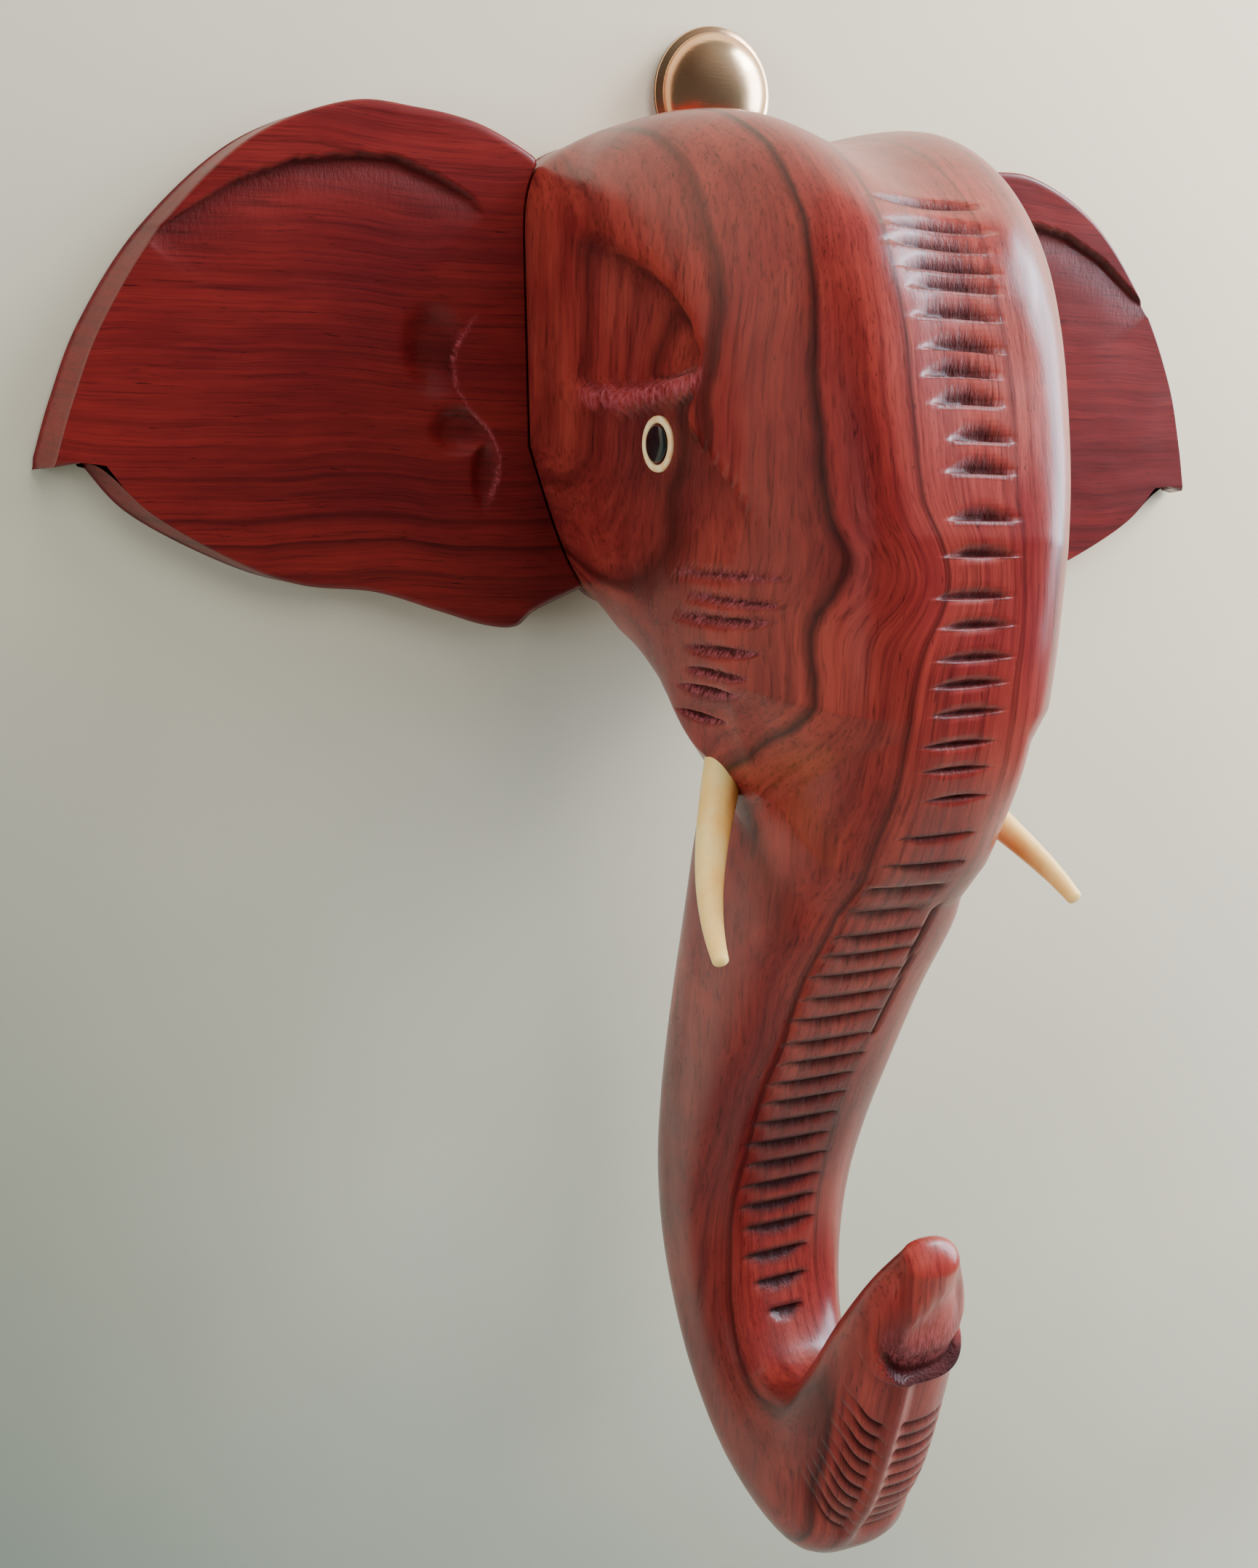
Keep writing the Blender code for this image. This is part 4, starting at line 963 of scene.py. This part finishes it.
# %% Make both ears
def ear_board(name, side):
    """Front patch, a small round-over, the slanted edge and the flat back, closed at root and tip."""
    reach = smooth(0.35 * EAR_REACH * 1000.0, EAR_REACH * 1000.0, ear_x)
    slanted = EAR_EDGE_SLANT * 1000.0 * reach
    u_share = np.linspace(0.0, 1.0, EAR_LONG)[:, None]
    v_share = np.abs(np.linspace(-1.0, 1.0, EAR_ACROSS))[None, :]
    rim = np.maximum(smooth(0.90, 1.0, v_share) * smooth(0.02, 0.12, u_share), smooth(0.93, 1.0, u_share))
    back_x = ear_x + slanted * rim
    back_z = ear_z - np.where(ear_z < 0.0, 0.3 * slanted * rim, 0.0)
    edge = np.maximum(smooth(0.975, 1.0, v_share), smooth(0.99, 1.0, u_share))
    depth = -EAR_THICKNESS + 0.001 * np.maximum(fold_depth, hole_depth) + EAR_ROUND_OVER * edge**2
    front = np.stack([side * ear_x * 0.001, depth, ear_z * 0.001], axis=-1)
    back = np.stack([side * back_x * 0.001, np.zeros_like(back_x), back_z * 0.001], axis=-1)
    crest = [front[:, -1:] * (1.0 - share) + back[:, -1:] * share for share in EDGE_SHARES]
    under = [front[:, :1] * (1.0 - share) + back[:, :1] * share for share in reversed(EDGE_SHARES)]
    grid = np.concatenate([front, *crest, back[:, ::-1], *under], axis=1)
    rows, columns = grid.shape[:2]
    root_quads, root_fans = end_faces(columns, 0, 1)
    tip_quads, tip_fans = end_faces(columns, (rows - 1) * columns, -1)
    quads = np.concatenate([ring_quads(rows, columns), root_quads, tip_quads])
    fans = np.concatenate([root_fans, tip_fans])
    plain = np.zeros((rows, columns - EAR_ACROSS))
    # The cut number carries the painted shade of the fold and hole, and the burr number carries the painted
    # highlight on the ridge.
    layers = {
        "cut": np.concatenate([ear_recess_shade, plain], axis=1),
        "burr_and_highlight": np.concatenate([ear_ridge_highlight, plain], axis=1),
    }
    return skin(name, grid.reshape(-1, 3), quads, fans, ear_wood, layers)


for side, word in ((-1.0, "left"), (1.0, "right")):
    board = ear_board("ear_board_" + word, side)
    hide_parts("ear_" + word)
    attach(board, "root")

# %% [markdown]
# ## Tusks
# The tusks are slender, round and blunt, and bend forward out of the cheek. A tusk is a circle
# carried along a bent line and shrinking toward its end, with a rounded nose. The cream has
# soft yellow clouds, and a rusty patch of glue on its inner side where it enters the wood.

# %% Tusk finish
def tusk_cream():
    """Cream with soft yellow clouds; the root, read from an attribute, turns orange-brown."""
    polish = {"Coat_Weight": 0.3, "Coat_Roughness": 0.2}
    glow = {"Subsurface_Weight": 0.15, "Subsurface_Scale": 0.003}
    finish, tree, shader = new_finish("tusk_cream", 0.32, **polish, **glow)
    place = object_place(tree)
    cloud = noise(tree, place, (160.0, 160.0, 70.0), 3.0)
    streak = noise(tree, place, (700.0, 700.0, 60.0), 3.0)
    cloudy = ramp(tree, cloud, ((0.35, 0.0), (0.7, 1.0)))
    colour = blend_colours(tree, cloudy, (1.0, 0.58, 0.15), (1.0, 0.74, 0.29))
    streaky = ramp(tree, streak, ((0.55, 0.0), (0.8, 0.35)))
    colour = blend_colours(tree, streaky, colour, (0.70, 0.42, 0.14))
    patchy = ramp(tree, cloud, ((0.30, 0.45), (0.55, 1.0)))
    glue = sums(tree, "MULTIPLY", carried(tree, "root"), patchy, clamp=True)
    colour = blend_colours(tree, glue, colour, (0.50, 0.17, 0.02))
    tree.links.new(colour, shader.inputs["Base Color"])
    tree.links.new(bump(tree, streak, 0.4, 0.0001), shader.inputs["Normal"])
    return finish


cream = tusk_cream()

# %% Tusk shape
TUSK_BASE_RADIUS = 0.0035
TUSK_TIP_RADIUS = 0.00125
TUSK_REACH = 0.031
TUSK_TIP_SPLIT = 0.0021
TUSK_RINGS = 70
NOSE_RINGS = 9


def tusk(name, side):
    """Circles of radius base + (tip - base) t^1.5 along a line bent by four points, and a round nose."""
    split = side * TUSK_TIP_SPLIT
    start = np.array((side * 0.56 * TUSK_REACH, -0.603 * HEAD_DEPTH, -0.192 * TRUNK_DROP))
    neck = np.array((side * 0.62 * TUSK_REACH, -0.630 * HEAD_DEPTH, -0.257 * TRUNK_DROP))
    elbow = np.array((side * 0.96 * TUSK_REACH, -0.762 * HEAD_DEPTH, -0.295 * TRUNK_DROP + 0.6 * split))
    stop = np.array((side * TUSK_REACH, -0.893 * HEAD_DEPTH, -0.340 * TRUNK_DROP + split))
    t = np.linspace(0.0, 1.0, TUSK_RINGS)[:, None]
    centre = start * (1 - t) ** 3 + neck * 3 * t * (1 - t) ** 2 + elbow * 3 * t**2 * (1 - t) + stop * t**3
    along = (neck - start) * (1 - t) ** 2 + (elbow - neck) * 2 * t * (1 - t) + (stop - elbow) * t**2
    along /= np.linalg.norm(along, axis=1, keepdims=True)
    radius = TUSK_BASE_RADIUS + (TUSK_TIP_RADIUS - TUSK_BASE_RADIUS) * t**1.5
    turn = np.linspace(0.1, 0.46 * np.pi, NOSE_RINGS)[:, None]
    nose_centre = centre[-1] + along[-1] * 0.6 * TUSK_TIP_RADIUS * np.sin(turn)
    centre = np.concatenate([centre, nose_centre])
    radius = np.concatenate([radius, TUSK_TIP_RADIUS * np.cos(turn)])
    along = np.concatenate([along, np.repeat(along[-1:], NOSE_RINGS, axis=0)])
    across = np.cross(along, (0.0, -0.5, 1.0))
    across /= np.linalg.norm(across, axis=1, keepdims=True)
    other = np.cross(along, across)
    angle = np.linspace(0.0, 2.0 * np.pi, 48, endpoint=False)
    ring = across[:, None] * np.cos(angle)[None, :, None] + other[:, None] * np.sin(angle)[None, :, None]
    grid = centre[:, None] + ring * radius[:, :, None]
    near_root = smooth(0.52, 0.30, np.concatenate([t[:, 0], np.ones(NOSE_RINGS)]))[:, None]
    root = near_root * smooth(0.1, 0.8, -side * ring[:, :, 0])
    return surface(name, grid, cream, layers={"root": root})


for side, word in ((-1.0, "left"), (1.0, "right")):
    piece = tusk("tusk_round_" + word, side)
    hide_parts("tusk_" + word)
    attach(piece, "root")

# %% [markdown]
# ## Eyes
# Each eye is a cream washer with a black disc in it, set into the flat beside the brow. Both
# are turned shapes: a profile of radius and height spun round the eye's own axis, which stands
# square to the side of the face. The black is glossy enough to catch a small light.

# %% Eye finishes and shapes
EYE_RADIUS = 0.0044
PUPIL_RADIUS = 0.0029
EYE_DEPTH = 0.0024
EYE_PLACE = (0.500, 0.15)
WASHER_TOP = 0.0004


def eye_finish(name, other_tone, main_tone, roughness):
    """Two close tones mixed by fine noise, under a clear coat."""
    finish, tree, shader = new_finish(name, roughness, Coat_Weight=0.6, Coat_Roughness=0.05)
    cloud = noise(tree, object_place(tree), (500.0, 500.0, 500.0), 3.0)
    colour = blend_colours(tree, ramp(tree, cloud, ((0.4, 0.0), (0.7, 1.0))), main_tone, other_tone)
    tree.links.new(colour, shader.inputs["Base Color"])
    tree.links.new(bump(tree, cloud, 0.3, 0.0001), shader.inputs["Normal"])
    return finish


eye_cream = eye_finish("eye_cream", (1.0, 0.50, 0.18), (1.0, 0.80, 0.46), 0.35)
eye_black = eye_finish("eye_black", (0.010, 0.014, 0.016), (0.003, 0.004, 0.006), 0.12)


def eye_axes(side):
    """The eye's centre and its three directions, from the slope of the skull's side."""
    depth, height, least = EYE_PLACE[0] * HEAD_DEPTH, EYE_PLACE[1] * CROWN_RISE, 0.9 * TRUNK_HALF_WIDTH
    width = skull_half_width(depth, height, least)
    step = 0.001
    slope = (skull_half_width(depth + step, height, least) - width) / step
    rise = (skull_half_width(depth, height + step, least) - width) / step
    out = np.array((side, float(slope), -float(rise)))
    out /= np.linalg.norm(out)
    across = np.cross((0.0, 0.0, 1.0), out)
    across /= np.linalg.norm(across)
    centre = np.array((side * float(width), -depth, height)) - out * EYE_SINK * 0.001
    return centre, across, np.cross(out, across), out


def turned(name, profile, centre, across, upward, out, finish, joined=False, steps=72):
    """Spin (radius, height) pairs round the axis: centre + radius (cos, sin) + height out."""
    profile = np.asarray(profile)
    angle = np.linspace(0.0, 2.0 * np.pi, steps, endpoint=False)
    ring = np.cos(angle)[:, None] * across + np.sin(angle)[:, None] * upward
    grid = centre + profile[:, :1, None] * ring[None] + profile[:, 1:, None] * out
    if joined:
        return surface(name, np.concatenate([grid, grid[:1]]), finish, caps=False)
    return surface(name, grid, finish)


# %% Make both eyes
outer, inner, top = EYE_RADIUS, PUPIL_RADIUS + JOINT_GAP, WASHER_TOP
washer = (
    (inner, -EYE_DEPTH),
    (outer, -EYE_DEPTH),
    (outer, top - 0.0003),
    (outer - 0.0001, top - 0.0001),
    (outer - 0.0003, top),
    (inner + 0.0002, top),
    (inner + 0.00005, top - 0.0001),
    (inner, top - 0.0003),
)
dome_angles = np.linspace(0.12, 0.5 * math.pi - 0.08, 9)
dome = [(PUPIL_RADIUS, -EYE_DEPTH), (PUPIL_RADIUS, top - 0.0001)]
dome += [(PUPIL_RADIUS * math.cos(a), top + 0.0006 * math.sin(a)) for a in dome_angles]

for side, word in ((-1.0, "left"), (1.0, "right")):
    axes = eye_axes(side)
    ring = turned("eye_washer_" + word, washer, *axes, eye_cream, joined=True)
    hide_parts("eye_ring_" + word)
    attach(ring, "root")
    pupil = turned("eye_pupil_" + word, dome, *axes, eye_black)
    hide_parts("pupil_" + word)
    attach(pupil, "root")

# %% [markdown]
# ## The brass boss
# A domed brass plate peeps out over the crown. The dome is a spun profile with a rolled rim.
# The tongue that holds it, and its recess in the flat back, stay in the solids: on the wall
# they are hidden, so the dressed back is plain. Old polish and fine scratches are what make
# brass look real, so its roughness is mottled and its colour warms toward copper.

# %% Brass
def brass_finish():
    """Metal with mottled roughness, a copper tint in clouds, and scratches from stretched noise."""
    finish, tree, shader = new_finish("brass", 0.2, Metallic=1.0)
    place = object_place(tree)
    cloud = noise(tree, place, (110.0, 110.0, 110.0), 3.0)
    scratch = noise(tree, place, (300.0, 300.0, 3000.0), 3.0)
    cloudy = ramp(tree, cloud, ((0.35, 0.0), (0.65, 1.0)))
    colour = blend_colours(tree, cloudy, (0.95, 0.64, 0.38), (0.85, 0.46, 0.26))
    tree.links.new(colour, shader.inputs["Base Color"])
    tree.links.new(sums(tree, "MULTIPLY_ADD", cloud, 0.22, 0.14), shader.inputs["Roughness"])
    tree.links.new(bump(tree, scratch, 0.35, 0.00006), shader.inputs["Normal"])
    return finish


brass = brass_finish()

# %% Boss
BOSS_RADIUS = 0.0115
BOSS_HEIGHT = 0.0065
BOSS_ABOVE_CROWN = 0.0126

dome_radius, dome_foot, dome_height = BOSS_RADIUS - 0.0013, 0.0019, BOSS_HEIGHT - 0.0008
boss_profile = [
    (BOSS_RADIUS - 0.0004, JOINT_GAP),
    (BOSS_RADIUS, 0.0006),
    (BOSS_RADIUS, 0.0011),
    (BOSS_RADIUS - 0.0002, 0.0014),
    (BOSS_RADIUS - 0.0008, 0.0015),
    (BOSS_RADIUS - 0.0011, 0.0018),
]
bend = np.linspace(0.0, 0.5 * math.pi - 0.06, 26)
boss_profile += [(dome_radius * math.cos(a), dome_foot + dome_height * math.sin(a)) for a in bend]
boss_axes = np.array((
    (0.0, 0.0, CROWN_RISE + BOSS_ABOVE_CROWN),
    (1.0, 0.0, 0.0),
    (0.0, 0.0, 1.0),
    (0.0, -1.0, 0.0),
))
boss = turned("hanger_boss", boss_profile, *boss_axes, brass, steps=96)
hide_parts("hanger")
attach(boss, "root")

# %% [markdown]
# ## Wall and floor
# The carving hangs on a pale wall. Its colour is painted lighter toward the upper right and
# darker and greener toward the lower left, as painted light from the window. One sheet makes the
# wall, a rounded corner and a floor. Its back lets light and sight through, so that the carving can
# be looked at from behind. Rays that meet the sheet within 3 mm pass too, so that light from behind
# reaches the backs of the ears.

# %% Stage
WALL_GAP = 0.0008
WALL_TOP = 1.6
FLOOR_HEIGHT = -0.75
FLOOR_FRONT = -2.4
CORNER_RADIUS = 0.15
SHEET_HALF_WIDTH = 2.0
THIN_GAP = 0.003


def stage_sheet():
    """An L-shaped profile, wall then quarter round then floor, carried sideways."""
    turn = np.linspace(0.0, 0.5 * np.pi, 16)
    corner_y = WALL_GAP - CORNER_RADIUS * (1.0 - np.cos(turn))
    corner_z = FLOOR_HEIGHT + CORNER_RADIUS * (1.0 - np.sin(turn))
    wall_z = np.linspace(WALL_TOP, FLOOR_HEIGHT + CORNER_RADIUS, 8)
    floor_y = np.linspace(WALL_GAP - CORNER_RADIUS - 0.01, FLOOR_FRONT, 10)
    profile = np.concatenate([
        np.stack([np.full(len(wall_z), WALL_GAP), wall_z], axis=1),
        np.stack([corner_y, corner_z], axis=1),
        np.stack([floor_y, np.full(len(floor_y), FLOOR_HEIGHT)], axis=1),
    ])
    across = np.linspace(-SHEET_HALF_WIDTH, SHEET_HALF_WIDTH, 25)
    x = np.repeat(across[None, :], len(profile), axis=0)
    y = np.repeat(profile[:, :1], len(across), axis=1)
    z = np.repeat(profile[:, 1:], len(across), axis=1)
    return np.stack([x, y, z], axis=-1)


# %% Stage finish
sheet_finish, tree, shader = new_finish("pale_wall", 0.85)
place = object_place(tree)
parts = add(tree, "ShaderNodeSeparateXYZ", i0=place)
# Painted light: the colour runs from dark grey-green at the lower left to warm beige at the upper right,
# with noise for the plaster.
slanting = sums(tree, "ADD", parts.outputs[0], parts.outputs[2])
painted_light_share = sums(tree, "MULTIPLY_ADD", slanting, 1.6, 0.60, clamp=True)
plaster = noise(tree, place, (9.0, 9.0, 9.0), 4.0)
shade = sums(tree, "MULTIPLY_ADD", plaster, 0.16, sums(tree, "SUBTRACT", painted_light_share, 0.08), clamp=True)
tone = blend_colours(tree, shade, (0.235, 0.275, 0.235), (0.97, 0.87, 0.70))
tree.links.new(tone, shader.inputs["Base Color"])
behind = add(tree, "ShaderNodeNewGeometry").outputs["Backfacing"]
clear = add(tree, "ShaderNodeBsdfTransparent").outputs[0]
reach = add(tree, "ShaderNodeLightPath").outputs["Ray Length"]
unseen = sums(tree, "MAXIMUM", behind, sums(tree, "LESS_THAN", reach, THIN_GAP))
mixed = add(tree, "ShaderNodeMixShader", i0=unseen, i1=shader.outputs[0], i2=clear).outputs[0]
tree.links.new(mixed, tree.nodes["Material Output"].inputs["Surface"])

# %% Make the stage
stage_points = stage_sheet()
rows, columns = stage_points.shape[:2]
stage_mesh = bpy.data.meshes.new("wall_and_floor")
index = np.arange(rows * columns).reshape(rows, columns)
faces = np.stack([index[:-1, :-1], index[1:, :-1], index[1:, 1:], index[:-1, 1:]], axis=-1).reshape(-1, 4)
stage_mesh.from_pydata(stage_points.reshape(-1, 3).tolist(), [], faces.tolist())
stage_mesh.shade_smooth()
stage_mesh.materials.append(sheet_finish)
wall = bpy.data.objects.new("wall_and_floor", stage_mesh)
bpy.context.scene.collection.objects.link(wall)
print("wall normal", stage_mesh.polygons[0].normal[:])


# %% [markdown]
# ## Lights
# The main light is a big window on the right, not far from the plane of the wall: it draws the
# long pale reflection down the edge of the forehead and leaves the left ear in shade. One picture
# of a room could light it all, but soft rectangles are easier to move one by one. The fills are
# left out of the gloss, so that the varnish mirrors only the window.

# %% Area lights
def area_light(name, place, target, size, power, colour, mirrored=True):
    """A rectangular soft light that looks at a point; it can be left out of the gloss."""
    data = bpy.data.lights.new(name, "AREA")
    data.shape = "RECTANGLE"
    data.size, data.size_y = size
    data.energy = power
    data.color = colour
    lamp = bpy.data.objects.new(name, data)
    lamp.visible_glossy = mirrored
    facing = (Vector(target) - Vector(place)).to_track_quat("-Z", "Y")
    lamp.matrix_world = Matrix.Translation(place) @ facing.to_matrix().to_4x4()
    bpy.context.scene.collection.objects.link(lamp)


DAYLIGHT = (0.72, 0.86, 1.0)
# name, place, the point it looks at, size, power, colour, and whether the gloss mirrors it
LIGHTS = (
    ("window_right", (1.10, -0.20, 0.42), (0.0, -0.05, 0.0), (0.85, 0.95), 42.0, DAYLIGHT, True),
    ("window_top", (0.76, -0.28, 0.80), (0.01, -0.08, 0.03), (0.34, 0.34), 9.0, DAYLIGHT, True),
    ("window_near", (0.42, -0.24, 0.34), (0.05, -0.03, 0.0), (0.30, 0.30), 3.2, (1.0, 0.84, 0.68), False),
    ("room_front", (0.45, -1.30, 0.85), (0.0, 0.0, -0.03), (0.9, 0.9), 16.5, (1.0, 0.95, 0.88), False),
    ("ceiling", (-0.15, -0.35, 1.25), (0.0, 0.0, 0.0), (0.9, 0.5), 6.0, (1.0, 0.97, 0.93), False),
    ("left_bounce", (-0.95, -0.42, 0.05), (0.0, -0.05, -0.07), (0.5, 0.7), 7.0, (0.98, 1.0, 0.98), False),
    ("behind", (-0.5, 1.1, 0.5), (0.0, 0.0, 0.0), (0.8, 0.8), 14.0, (1.0, 0.97, 0.92), False),
)
for light in LIGHTS:
    area_light(*light)
print(len(LIGHTS), "lights")

# %% [markdown]
# ## Sky
# Between the lights, varnish and brass mirror the rest of the room. One plain grey would look
# flat in the brass, so the level rises smoothly toward a side high up in front, to the right.

# %% Sky level
SKY_COLOUR = (0.84, 0.82, 0.78, 1.0)
SKY_GLOW_TOWARD = (0.40, -0.45, 0.80)
SKY_GLOW = 0.40
SKY_LEVEL = 0.12

world = bpy.data.worlds.new("room")
world.use_nodes = True
tree = world.node_tree
background = tree.nodes["Background"]
background.inputs["Color"].default_value = SKY_COLOUR
sight = add(tree, "ShaderNodeTexCoord").outputs["Generated"]
toward = add(tree, "ShaderNodeVectorMath", {"operation": "DOT_PRODUCT"}, i0=sight, i1=SKY_GLOW_TOWARD)
glow = sums(tree, "POWER", sums(tree, "MAXIMUM", toward.outputs["Value"], 0.0), 6.0)
tree.links.new(sums(tree, "MULTIPLY_ADD", glow, SKY_GLOW, SKY_LEVEL), background.inputs["Strength"])
bpy.context.scene.world = world
print("sky from %.2f to %.2f" % (SKY_LEVEL, SKY_LEVEL + SKY_GLOW))
